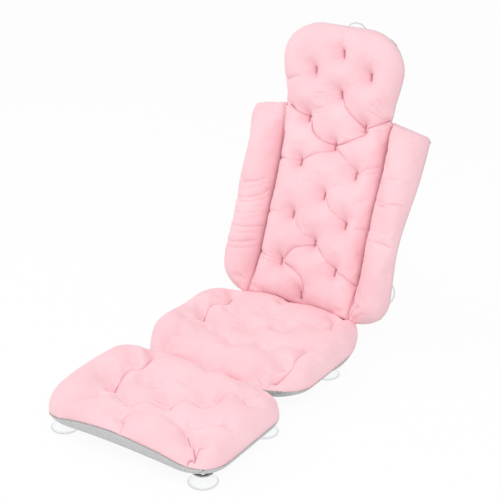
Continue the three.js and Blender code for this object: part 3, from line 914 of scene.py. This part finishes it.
SEAT_PLEAT_PIXELS = [
    ([(203.5, 315), (205, 309), (208, 304), (213, 300.5), (220, 300), (226.5, 300), (229, 297),
      (232, 292)], 0.9),
    ([(186, 314), (195, 316), (203, 316)], 0.45),
    ([(180, 331), (170, 335), (163, 341), (157, 349)], 0.5),
    ([(163, 349), (163.5, 343)], 0.6),
    ([(208, 327), (213, 330), (218, 330.5)], 0.5),
    ([(222, 329), (232, 325), (240, 327), (247, 330)], 0.35),
    ([(228, 309), (234, 312), (246, 312), (254, 309.5), (261, 311), (265, 314), (272, 315),
      (281, 318)], 0.4),
    ([(277, 327), (283, 329.5), (292, 329), (301, 324), (311, 322.5), (318, 326), (330, 326)], 0.45),
    ([(330, 326), (333, 321), (335, 318)], 0.8),
    ([(262, 345), (272, 348), (279, 344), (287, 343.5), (295, 347), (302, 347), (308, 345)], 0.5),
    ([(308, 345), (301, 350), (295, 358), (291, 366), (284, 371.5), (276, 376)], 0.85),
    ([(216, 350), (226, 349), (233, 345), (228, 338), (222, 334)], 0.3),
    ([(283, 305), (290, 302.5), (297, 303)], 0.5),
    ([(205, 362), (207, 366), (216, 367)], 0.6),
    ([(261.5, 386), (258.5, 373)], 0.6),
    ([(262, 386), (253, 376)], 0.6),
    ([(264, 387), (270, 379), (276, 375)], 0.7),
    ([(265, 387), (267, 377)], 0.4),
    ([(264, 388), (278, 386)], 0.4),
    ([(339, 322), (345, 317)], 0.4),
]
LEG_PLEAT_PIXELS = [
    ([(153, 351), (148, 357), (141, 365), (132, 365), (126, 367.5), (119, 376), (115, 382),
      (112, 386)], 1.0),
    ([(143, 378), (149, 383), (156, 384)], 0.65),
    ([(158, 377), (168, 375), (178, 378), (187, 384), (197, 385)], 0.45),
    ([(129, 403.5), (138, 399.5), (150, 399), (160, 403), (168.5, 405)], 0.65),
    ([(168.5, 404.5), (176, 398.5), (186, 396.5), (195, 400), (202, 404), (210, 403.5)], 0.72),
    ([(218, 397.5), (225, 391), (232, 389.5), (239, 392.5), (246, 399)], 0.65),
    ([(246, 399), (256, 397), (264, 392)], 0.39),
    ([(112, 388), (120, 396), (128, 403)], 0.39),
    ([(121, 417), (128, 414), (137, 413.5), (150, 412.5), (165, 414), (176, 421), (187, 429)], 0.59),
    ([(121, 417), (125, 419), (120, 427), (116, 434)], 0.78),
    ([(187, 428), (192, 436), (195, 447)], 1.0),
    ([(202, 439), (195.5, 447), (194, 453)], 1.0),
    ([(192, 450), (187, 454), (183, 461)], 0.91),
    ([(190, 424), (203, 424), (213, 425), (226, 421.5)], 0.52),
    ([(100, 393), (86, 396), (72, 400), (59, 406), (52, 414)], 0.52),
    ([(208, 371), (220, 370), (238, 374)], 0.33),
]
BOLSTER_PLEAT_PIXELS = {
    "left": [
        ([(246, 181), (257, 181), (267, 178)], 0.25),
        ([(245, 189), (256, 188), (268, 183)], 0.25),
        ([(241, 196), (252, 198), (262, 195), (269, 189)], 0.55),
        ([(243, 201), (254, 203), (264, 199)], 0.4),
        ([(248, 207), (256, 208), (263, 205)], 0.2),
        ([(238, 212), (250, 214), (261, 212)], 0.25),
        ([(234, 219), (246, 220), (259, 217)], 0.2),
        ([(231, 223), (244, 227), (262, 226)], 0.5),
        ([(229, 231), (243, 233), (257, 232)], 0.3),
        ([(228, 240), (242, 242), (256, 240)], 0.45),
        ([(232, 247), (243, 249), (253, 247)], 0.2),
    ],
    "right": [
        ([(388, 177), (399, 178), (410, 181)], 0.15),
        ([(377, 200), (390, 203), (408, 204)], 0.4),
        ([(376, 204), (388, 206), (404, 209)], 0.3),
        ([(368, 229), (380, 231), (392, 233)], 0.2),
        ([(364, 240), (376, 242), (388, 245)], 0.2),
        ([(346, 319), (350, 309), (354, 301)], 0.5),
        ([(347, 321), (353, 313), (358, 306)], 0.5),
        ([(349, 323), (356, 318), (363, 313)], 0.4),
        ([(351, 325), (359, 323), (367, 320)], 0.3),
    ],
}

# Each top: its rise over the seam plane and the width of its rounded wall
LEG_SWELL = Swell(LEG, LEG_FRAME, leg_seam, 0.037, 0.054, hollow=0.007, fuller=leg_fuller)
SEAT_SWELL = Swell(SEAT, SEAT_FRAME, seat_seam, 0.038, 0.054, hollow=0.008, fuller=seat_fuller)
BACK_SWELL = Swell(BACK, BACK_FRAME, panel_seam, 0.031, 0.040)
HEAD_SWELL = Swell(BACK, HEAD_FRAME, panel_seam, 0.031, 0.040, along=BACK_LENGTH)
BOLSTER_SWELLS = {
    side: Swell(BOLSTER, matrix, bolster_seam(side), 0.038, 0.036)
    for side, matrix in BOLSTER_FRAMES.items()
}


# Finishes

class Value:
    """A shader socket that takes ordinary arithmetic."""

    def __init__(self, finish, socket):
        self.finish, self.socket = finish, socket

    def sum(self, operation, *others):
        return self.finish.node("ShaderNodeMath", {"operation": operation}, {
            place: other for place, other in enumerate((self, *others))
        })

    def __add__(self, other):
        return self.sum("ADD", other)

    def __sub__(self, other):
        return self.sum("SUBTRACT", other)

    def __rsub__(self, other):
        return self.sum("MULTIPLY_ADD", -1.0, other)

    def __mul__(self, other):
        return self.sum("MULTIPLY", other)

    def wave(self):
        """From 0 to 1 and back, once for each unit."""
        return (self * math.tau).sum("SINE") * 0.5 + 0.5

    def stepped(self, low, high):
        """0 below low, 1 above high, and smooth between."""
        return self.finish.node("ShaderNodeMapRange", {"interpolation_type": "SMOOTHSTEP"}, {
            "Value": self, "From Min": low, "From Max": high,
        })


class Finish:
    """The nodes of a material, or of the room."""

    def __init__(self, owner):
        self.owner = owner
        owner.use_nodes = True
        self.tree = owner.node_tree
        self.tree.nodes.clear()

    def node(self, kind, settings=None, sockets=None, out=0):
        made = self.tree.nodes.new(kind)
        for setting, value in (settings or {}).items():
            setattr(made, setting, value)
        for socket, value in (sockets or {}).items():
            if isinstance(value, Value):
                self.tree.links.new(value.socket, made.inputs[socket])
            else:
                made.inputs[socket].default_value = value
        return Value(self, made.outputs[out] if made.outputs else None)

    def place(self):
        """Object coordinates, in metres."""
        return self.node("ShaderNodeTexCoord", out="Object")

    def cloth(self, turn=0.0):
        """The piece's own flat map of its cloth, in metres."""
        coordinate = self.node("ShaderNodeUVMap", {"uv_map": "cloth"})
        return self.node("ShaderNodeMapping", {}, {"Vector": coordinate, "Rotation": (0, 0, turn)})

    def parts(self, vector):
        split = self.node("ShaderNodeSeparateXYZ", {}, {"Vector": vector})
        outputs = split.socket.node.outputs
        return [Value(self, outputs[axis]) for axis in (0, 1, 2)]

    def noise(self, vector, scale, detail=2.0):
        return self.node("ShaderNodeTexNoise", {}, {"Vector": vector, "Scale": scale, "Detail": detail})

    def attribute(self, name):
        return self.node("ShaderNodeAttribute", {"attribute_name": name}, out="Fac")

    def mixed(self, share, first, second):
        made = self.node("ShaderNodeMix", {"data_type": "RGBA"}, {"Factor": share}, out=2)
        for socket, colour in ((6, first), (7, second)):
            inputs = made.socket.node.inputs
            if isinstance(colour, Value):
                self.tree.links.new(colour.socket, inputs[socket])
            else:
                inputs[socket].default_value = (*colour, 1)
        return made

    def bump(self, height, strength, distance):
        sockets = {"Height": height, "Strength": strength, "Distance": distance}
        return self.node("ShaderNodeBump", {}, sockets)

    def surface(self, **sockets):
        named = {socket.replace("_", " "): value for socket, value in sockets.items()}
        shader = self.node("ShaderNodeBsdfPrincipled", {}, named)
        self.node("ShaderNodeOutputMaterial", {}, {"Surface": shader})
        return self.owner


KNIT_PINK = (0.935, 0.588, 0.633)
KNIT_LIGHT = (0.963, 0.636, 0.682)
# painted shade: the deep rose that creases, tack slits and seam lines are darkened toward
KNIT_CREASE_SHADE = (0.62, 0.22, 0.30)
MESH_GREY = (0.72, 0.72, 0.73)
MESH_HOLE = (0.30, 0.30, 0.31)
THREAD_PINK = (0.80, 0.42, 0.48)
TAB_GREY = (0.62, 0.62, 0.64)
VINYL_CLEAR = (0.97, 0.98, 0.985)
# painted shade: the grey that stands for the dark edge line of the clear rim
VINYL_RIM_SHADE = (0.50, 0.52, 0.54)
VINYL_IOR = 1.13

# How far apart the ribs and rows of each cloth are
KNIT_RIB, KNIT_COURSE = 0.0011, 0.0014
HOLE_ACROSS, HOLE_ALONG = 0.0030, 0.0026
TAB_WEAVE = 0.0008


def knit_finish():
    """Fine brushed knit: narrow ribs, a soft bloom and painted shade, deeper colour down in the pleats."""
    finish = Finish(bpy.data.materials.new("quilted_knit"))
    cloth = finish.cloth()
    across, along, _ = finish.parts(cloth)
    ribs = (across * (1 / KNIT_RIB)).wave()
    courses = (along * (1 / KNIT_COURSE)).wave()
    fuzz = finish.noise(cloth, 900, 3)
    blush = finish.noise(cloth, 11, 2)
    height = ribs * 0.6 + courses * 0.25 + fuzz * 0.5
    base = finish.mixed(blush.stepped(0.3, 0.7), KNIT_PINK, KNIT_LIGHT)
    crease = finish.attribute("crease")
    # painted shade: the crease weight darkens the knit toward a deep rose in pleats, tack slits and seam
    # lines
    colour = finish.mixed((crease * 0.55).stepped(0.1, 0.62), base, KNIT_CREASE_SHADE)
    return finish.surface(
        Base_Color=colour,
        Roughness=fuzz * 0.12 + 0.78,
        Normal=finish.bump(height, 0.35, 0.00018),
        Sheen_Weight=0.25,
        Sheen_Roughness=0.45,
        Specular_IOR_Level=0.25,
    )


def spacer_finish():
    """Open spacer mesh: slanted rows of small holes in a light grey knit."""
    finish = Finish(bpy.data.materials.new("spacer_mesh"))
    cloth = finish.cloth(turn=0.12)
    x, y, _ = finish.parts(cloth)
    column = x * (1 / HOLE_ACROSS) + y * (0.5 / HOLE_ALONG)
    row = y * (1 / HOLE_ALONG)
    across = column.sum("FRACT") - 0.5
    along = row.sum("FRACT") - 0.5
    gap = (across * across * 1.1 + along * along * 0.75).sum("SQRT")
    hole = 1 - gap.stepped(0.20, 0.34)
    fuzz = finish.noise(cloth, 700, 3)
    colour = finish.mixed(hole, MESH_GREY, MESH_HOLE)
    return finish.surface(
        Base_Color=colour,
        Roughness=fuzz * 0.1 + 0.8,
        Normal=finish.bump(fuzz * 0.3 - hole, 0.7, 0.0006),
        Sheen_Weight=0.1,
    )


def thread_finish():
    finish = Finish(bpy.data.materials.new("sewing_thread"))
    place = finish.place()
    twist = finish.noise(place, 1500, 2)
    colour = finish.mixed(twist.stepped(0.35, 0.65), THREAD_PINK, KNIT_PINK)
    return finish.surface(Base_Color=colour, Roughness=0.6, Normal=finish.bump(twist, 0.5, 0.0002))


def tab_finish():
    finish = Finish(bpy.data.materials.new("tab_cloth"))
    place = finish.place()
    x, y, z = finish.parts(place)
    weave = ((x + y) * (1 / TAB_WEAVE)).wave() * ((y - x + z) * (1 / TAB_WEAVE)).wave()
    fuzz = finish.noise(place, 500, 2)
    colour = finish.mixed(weave * 0.6 + fuzz * 0.3, TAB_GREY, MESH_GREY)
    return finish.surface(Base_Color=colour, Roughness=0.85, Normal=finish.bump(weave, 0.4, 0.0003))


def vinyl_finish():
    """Clear soft vinyl with faint moulding ripples, a little dust haze, and painted shade greying its rim."""
    finish = Finish(bpy.data.materials.new("clear_vinyl"))
    # painted shade: the rim is greyed for the dark edge line the clear vinyl shows
    clear = finish.mixed(finish.attribute("rim"), VINYL_CLEAR, VINYL_RIM_SHADE)
    place = finish.place()
    ripple = finish.noise(place, 60, 2)
    haze = finish.noise(place, 220, 3)
    return finish.surface(
        Base_Color=clear,
        Roughness=haze * 0.03 + 0.01,
        Normal=finish.bump(ripple, 0.02, 0.0004),
        Transmission_Weight=1.0,
        IOR=VINYL_IOR,
    )


# The pads

KNIT = knit_finish()
SPACER = spacer_finish()
THREAD = thread_finish()
TAB_CLOTH = tab_finish()
VINYL = vinyl_finish()


def finished(piece, material):
    piece.data.materials.clear()
    piece.data.materials.append(material)
    return piece


def ridden(piece, body, *nodes):
    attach(piece, body)
    if nodes:
        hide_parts(*nodes)
    return piece


def dressed(matrix, cover, base, *tacks):
    """A pad's pieces moved from its frame to their place, with their materials."""
    finished(set_down(cover, matrix), KNIT)
    finished(set_down(base, matrix), SPACER)
    for piece in tacks:
        finished(set_down(piece, matrix), THREAD)


def pad_nodes(*names):
    return [f"{name}_{kind}" for name in names for kind in ("quilted_cover", "fibre_filling")]


PAD_CORNERS = {
    "leg": (0.019, 0.019, 0.023, 0.023),
    "seat": (0.045, 0.045, 0.019, 0.019),
    "back": (0.0, 0.0, 0.024, 0.024),
    "bolster": (0.0, 0.019, 0.0, 0.005),
}

# The lying pads swell softly, with shallow dimples
FLAT_PAD = {
    "growth": (0.008, 0.035), "pressure": 2, "reach": 0.028, "tack_half": 0.003, "valley": (0.016, 0.028),
    "hold": 0.7, "tack_shade": 0.45,
}

# Leg pad

leg_quilt, leg_sewn = quilt(
    "leg_quilt", LEG_SWELL, PAD_CORNERS["leg"], LEG_SWELL.tufts(LEG_TUFT_PIXELS),
    LEG_SWELL.pleats(LEG_PLEAT_PIXELS), lying_inset, limit=leg_limit, cuts=LEG_CUTS, **FLAT_PAD,
)
leg_mesh = mesh_base("leg_mesh", LEG, PAD_CORNERS["leg"], 0.0365, leg_seam, leg_roll, lying_inset)
leg_tacks = stitched_tacks("leg_tacks", leg_sewn, FLAT_PAD["tack_half"])
dressed(LEG_FRAME, leg_quilt, leg_mesh, leg_tacks)
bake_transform(leg_quilt)
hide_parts(*pad_nodes("leg"))
ridden(leg_mesh, "leg", "leg_mesh_base")
ridden(leg_tacks, "leg")

# Seat pad

seat_quilt, seat_sewn = quilt(
    "seat_quilt", SEAT_SWELL, PAD_CORNERS["seat"], SEAT_SWELL.tufts(SEAT_TUFT_PIXELS),
    SEAT_SWELL.pleats(SEAT_PLEAT_PIXELS), lying_inset, limit=seat_limit, **FLAT_PAD,
)
seat_mesh = mesh_base(
    "seat_mesh", SEAT, PAD_CORNERS["seat"], 0.034, seat_seam, seat_roll, lying_inset, tuck=1.3,
)
seat_tacks = stitched_tacks("seat_tacks", seat_sewn, FLAT_PAD["tack_half"])
dressed(SEAT_FRAME, seat_quilt, seat_mesh, seat_tacks)
ridden(seat_quilt, "seat", *pad_nodes("seat"))
ridden(seat_mesh, "seat", "seat_mesh_base")
ridden(seat_tacks, "seat")


# Back panel and head pad

def head_leaned(piece):
    """The head pad stands a little to the left of the panel's middle."""
    places = coordinates(piece.data)
    places[:, 0] -= HEAD_LEAN * eased(places[:, 1], BACK_LENGTH, BACK_LENGTH + HEAD_LEAN_OVER)
    place_vertices(piece.data, places)
    return bent_at_neck(piece)


head_tufts = [(x + HEAD_LEAN, y, depth) for x, y, depth in HEAD_SWELL.tufts(HEAD_TUFT_PIXELS)]
back_tufts = BACK_SWELL.tufts(BACK_TUFT_PIXELS)
lowest, second = head_tufts[3], back_tufts[1]
middle = ((lowest[0] + second[0]) / 2 - 0.002, (lowest[1] + second[1]) / 2)
back_pleats = BACK_SWELL.pleats(BACK_PLEAT_PIXELS) + HEAD_SWELL.pleats(HEAD_PLEAT_PIXELS)
back_pleats.append((softened([lowest[:2], middle, second[:2]]), 0.9))
back_quilt, back_sewn = quilt(
    "back_and_head_quilt", BACK_SWELL, PAD_CORNERS["back"], back_tufts + head_tufts, back_pleats,
    back_inset, limit=back_limit, low=COVER_LOW, seam_shade_line=panel_seam_shade, cuts=NECK_CUTS,
)
back_mesh = mesh_base(
    "back_and_head_mesh", BACK, PAD_CORNERS["back"], 0.020, panel_seam, even_roll(0.020), back_inset,
    low=MESH_LOW, cuts=NECK_CUTS,
)
back_tacks = stitched_tacks("back_tacks", back_sewn[:len(back_tufts)])
head_tacks = stitched_tacks("head_tacks", back_sewn[len(back_tufts):])
back_pieces = [head_leaned(piece) for piece in (back_quilt, back_mesh, back_tacks, head_tacks)]
dressed(BACK_FRAME, *back_pieces)
ridden(back_tacks, "back")
ridden(head_tacks, "head")
for piece, nodes in (
    (back_quilt, pad_nodes("back", "head")), (back_mesh, ["back_mesh_base", "head_mesh_base"]),
):
    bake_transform(piece)
    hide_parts(*nodes)


# Bolsters

# Each bolster's lean outward, slope of its top, and how far, where and over what
# length its outer edge curls forward
BOLSTER_SET = {"left": (0.014, 0.010, 0.013, 0.08, 0.08), "right": (0.009, 0.015, 0.037, 0.18, 0.11)}


def bolster_leaned(piece, side):
    lean, slope, curl, middle, reach = BOLSTER_SET[side]
    places = coordinates(piece.data)
    out = (places[:, 0] + BOLSTER_HALF) / (2 * BOLSTER_HALF)
    up = (places[:, 1] - FOLD_REACH) / (BACK_LENGTH - 2 * FOLD_REACH)
    places[:, 2] += curl * out ** 2 * np.exp(-((places[:, 1] - middle) / reach) ** 2)
    places[:, 0] += lean * out * up
    places[:, 1] -= slope * out * up ** 2
    place_vertices(piece.data, places)
    return piece


def bolster_slack(side):
    low, high = {"left": (0.10, 0.27), "right": (0.02, 0.25)}[side]

    def slack(flat):
        middle, reach = (low + high) / 2, (high - low) / 2
        return 0.3 + 0.7 * np.exp(-((flat[:, 1] - middle) / reach) ** 2)
    return slack


for side, way in (("left", -1), ("right", 1)):
    matrix = BOLSTER_FRAMES[side]
    cover, _ = quilt(
        f"bolster_{side}_quilt", BOLSTER_SWELLS[side], PAD_CORNERS["bolster"], [],
        BOLSTER_SWELLS[side].pleats(BOLSTER_PLEAT_PIXELS[side]), bolster_inset, growth=(0.03, 0.075),
        extra_slack=bolster_slack(side), limit=bolster_limit, stiffness=0.3, valley=(0.004, 0.006),
        low=COVER_LOW, seam_shade_line=bolster_seam_shade, cuts=BOLSTER_CUTS,
    )
    base = mesh_base(
        f"bolster_{side}_mesh", BOLSTER, PAD_CORNERS["bolster"], 0.020, bolster_seam(side), even_roll(0.016),
        bolster_inset, low=MESH_LOW, cuts=BOLSTER_CUTS,
    )
    dressed(matrix, bolster_leaned(cover, side), bolster_leaned(base, side))
    if way < 0:
        cover.data.flip_normals()
        base.data.flip_normals()
    crease = BACK_FRAME @ Vector((way * (PANEL_HALF + 0.001), BACK_LENGTH / 2, 0))
    for piece, length, nodes in (
        (cover, COVER_BLEND, pad_nodes(f"bolster_{side}")), (base, BASE_BLEND, [f"bolster_{side}_mesh_base"]),
    ):
        crease + Vector((way * length, 0, 0))
        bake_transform(piece)
        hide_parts(*nodes)


# Seams, cups and tabs

ROLL_STEP = 0.0012
PUCKER = 0.14
PUCKER_LENGTH = 0.0048


def sewn_roll(name, start, end, radius):
    """A rolled seam on a fold's axis, puckered by its stitches."""
    length = (end - start).length
    steps = int(length / ROLL_STEP)
    bm = bmesh.new()
    bmesh.ops.create_circle(bm, cap_ends=True, segments=10, radius=radius)
    made = bmesh.ops.extrude_face_region(bm, geom=bm.faces[:])
    tip = [item for item in made["geom"] if isinstance(item, bmesh.types.BMVert)]
    bmesh.ops.translate(bm, verts=tip, vec=(0, 0, length))
    sides = [edge for edge in bm.edges if abs(edge.verts[0].co.z - edge.verts[1].co.z) > length / 2]
    bmesh.ops.subdivide_edges(bm, edges=sides, cuts=steps, use_grid_fill=True)
    for vert in bm.verts:
        twice = 2 * math.atan2(vert.co.y, vert.co.x)
        pucker = 1 + PUCKER * math.sin(vert.co.z * math.tau / PUCKER_LENGTH + twice)
        vert.co.x *= pucker
        vert.co.y *= pucker
    bmesh.ops.recalc_face_normals(bm, faces=bm.faces)
    piece = shaded_smooth(linked(name, mesh_from(bm, name)))
    turn = (end - start).to_track_quat("Z", "Y").to_matrix().to_4x4()
    turn.translation = start
    return finished(set_down(piece, turn), THREAD)


# Each fold's seam: body, middle, half length and the roll's radius
SEAMS = [
    ("leg_fold_seam", "seat", LEG_FOLD, 0.120, 0.0022),
    ("back_fold_seam", "seat", BACK_FOLD, 0.126, 0.0040),
    ("neck_fold_seam", "back", NECK_FOLD, 0.116, 0.0022),
]
ACROSS = Vector((1, 0, 0))
CREASE_ROLL = 0.0027
CREASE_END = 0.001

for name, body, centre, half, radius in SEAMS:
    roll = sewn_roll(f"{name}_stitched", centre - ACROSS * half, centre + ACROSS * half, radius)
    ridden(roll, body, name)
for side, way in (("left", -1), ("right", 1)):
    start = BACK_FRAME @ Vector((way * PANEL_HALF, CREASE_END, 0))
    end = BACK_FRAME @ Vector((way * PANEL_HALF, BACK_LENGTH + CREASE_END, 0))
    roll = sewn_roll(f"bolster_{side}_crease_stitched", start, end, CREASE_ROLL)
    roll.data.transform(BACK_FRAME.inverted())
    places = coordinates(roll.data)
    places[:, 2] += BACK_SEAM + 0.001 + crease_rise(way < 0, places[:, 1])
    place_vertices(roll.data, places)
    set_down(roll, BACK_FRAME)
    ridden(roll, "back", f"bolster_{side}_crease_seam")

CUP_PROFILE = [
    (0, 0.0090), (0.0050, 0.0088), (0.0100, 0.0081), (0.0145, 0.0066), (0.0190, 0.0042),
    (0.0225, 0.0017), (0.0242, 0.0002), (0.0250, 0), (0.0272, 0), (0.0275, 0.0005), (0.0273, 0.0012),
    (0.0262, 0.0020), (0.0235, 0.0042), (0.0205, 0.0070), (0.0172, 0.0095), (0.0150, 0.0112),
    (0.0115, 0.0131), (0.0092, 0.0146), (0.0080, 0.0150), (0.0045, 0.0151), (0.0035, 0.0155),
    (0.0035, 0.0166), (0.0042, 0.0170), (0.0058, 0.0171), (0.0065, 0.0177), (0.0065, 0.0194),
    (0.0057, 0.0200), (0, 0.0201),
]
TAB_PROFILE = [
    (0.0040, 0.0153), (0.0090, 0.0153), (0.0098, 0.0155), (0.0150, 0.0188), (0.0187, 0.0208),
    (0.0192, 0.0213), (0.0188, 0.0217), (0.0164, 0.0217), (0.0140, 0.0204), (0.0093, 0.0166),
    (0.0084, 0.0163), (0.0040, 0.0163),
]


def cup_piece(name, matrix):
    cup = spun(f"{name}_turned", CUP_PROFILE)
    places = coordinates(cup.data)
    # weight of the painted shade at the rim's edge
    point_attribute(cup.data, "rim", eased(np.hypot(places[:, 0], places[:, 1]), 0.0250, 0.0268))
    return finished(set_down(cup, matrix), VINYL)


def tab_piece(name, matrix):
    tab = spun(f"{name}_sewn", TAB_PROFILE, steps=40)
    return finished(set_down(tab, matrix), TAB_CLOTH)


for joint in frame["joints"]:
    if not joint["name"].endswith("_turn"):
        continue
    cup = joint["child"]
    turn = Vector(joint["axis"]).to_track_quat("Z", "Y").to_matrix().to_4x4()
    turn.translation = joint["pos_m"]
    ridden(cup_piece(cup, turn), cup, cup)
    ridden(tab_piece(f"{cup}_tab", turn), joint["parent"], f"{cup}_tab")


# Studio

FLOOR_LEVEL = 0.0
FLOOR_SIZE = 12.0
BACKGROUND = 1.0
ROOM_LIGHT = 0.67
FLOOR_SHARE = 0.93
FLOOR_WHITE = (0.95, 0.95, 0.95, 1)


def seen_rays(finish):
    """1 for what the camera, glossy and clear surfaces see, 0 for light falling on the pillow."""
    camera = finish.node("ShaderNodeLightPath")
    others = camera.socket.node.outputs
    total = camera + Value(finish, others["Is Glossy Ray"]) + Value(finish, others["Is Transmission Ray"])
    return total.sum("MINIMUM", 1.0)


def floor_finish():
    finish = Finish(bpy.data.materials.new("studio_floor"))
    lit = finish.node("ShaderNodeBsdfDiffuse", {}, {"Color": FLOOR_WHITE})
    white = finish.node("ShaderNodeEmission", {}, {"Color": (1, 1, 1, 1), "Strength": BACKGROUND})
    share = seen_rays(finish) * FLOOR_SHARE
    shown = finish.node("ShaderNodeMixShader", {}, {"Fac": share, 1: lit, 2: white})
    finish.node("ShaderNodeOutputMaterial", {}, {"Surface": shown})
    return finish.owner


def studio_floor():
    bm = bmesh.new()
    bmesh.ops.create_grid(bm, x_segments=2, y_segments=2, size=FLOOR_SIZE / 2)
    bmesh.ops.translate(bm, verts=bm.verts, vec=(0, 0, FLOOR_LEVEL))
    floor = linked("studio_floor", mesh_from(bm, "studio_floor"))
    floor.data.materials.append(floor_finish())


def studio_room():
    world = bpy.data.worlds.new("studio_room")
    bpy.context.scene.world = world
    finish = Finish(world)
    soft = finish.node("ShaderNodeBackground", {}, {"Color": (1, 1, 1, 1), "Strength": ROOM_LIGHT})
    white = finish.node("ShaderNodeBackground", {}, {"Color": (1, 1, 1, 1), "Strength": BACKGROUND})
    mixed = finish.node("ShaderNodeMixShader", {}, {"Fac": seen_rays(finish), 1: soft, 2: white})
    finish.node("ShaderNodeOutputWorld", {}, {"Surface": mixed})


def studio_lamp(name, place, target, size, power):
    lamp = bpy.data.lights.new(name, "AREA")
    lamp.size, lamp.energy = size, power
    holder = bpy.data.objects.new(name, lamp)
    bpy.context.scene.collection.objects.link(holder)
    holder.location = place
    holder.rotation_euler = (Vector(target) - Vector(place)).to_track_quat("-Z", "Y").to_euler()


def studio_camera():
    data = bpy.data.cameras.new("studio_camera")
    data.sensor_width = SENSOR_WIDTH
    data.lens = FOCAL_PIXELS / IMAGE_SIDE * SENSOR_WIDTH
    data.clip_start, data.clip_end = 0.05, 50
    camera = bpy.data.objects.new("studio_camera", data)
    bpy.context.scene.collection.objects.link(camera)
    camera.location = CAMERA_PLACE
    camera.rotation_euler = AHEAD.to_track_quat("-Z", "Y").to_euler()
    bpy.context.scene.camera = camera


studio_floor()
studio_room()
studio_lamp("top_softbox", (1.3, -1.4, 2.2), (0, 0, 0.25), 1.8, 27)
studio_lamp("left_softbox", (-1.7, -0.6, 1.9), (0, 0, 0.25), 1.4, 14)
studio_camera()
bpy.context.scene.view_settings.view_transform = "Standard"
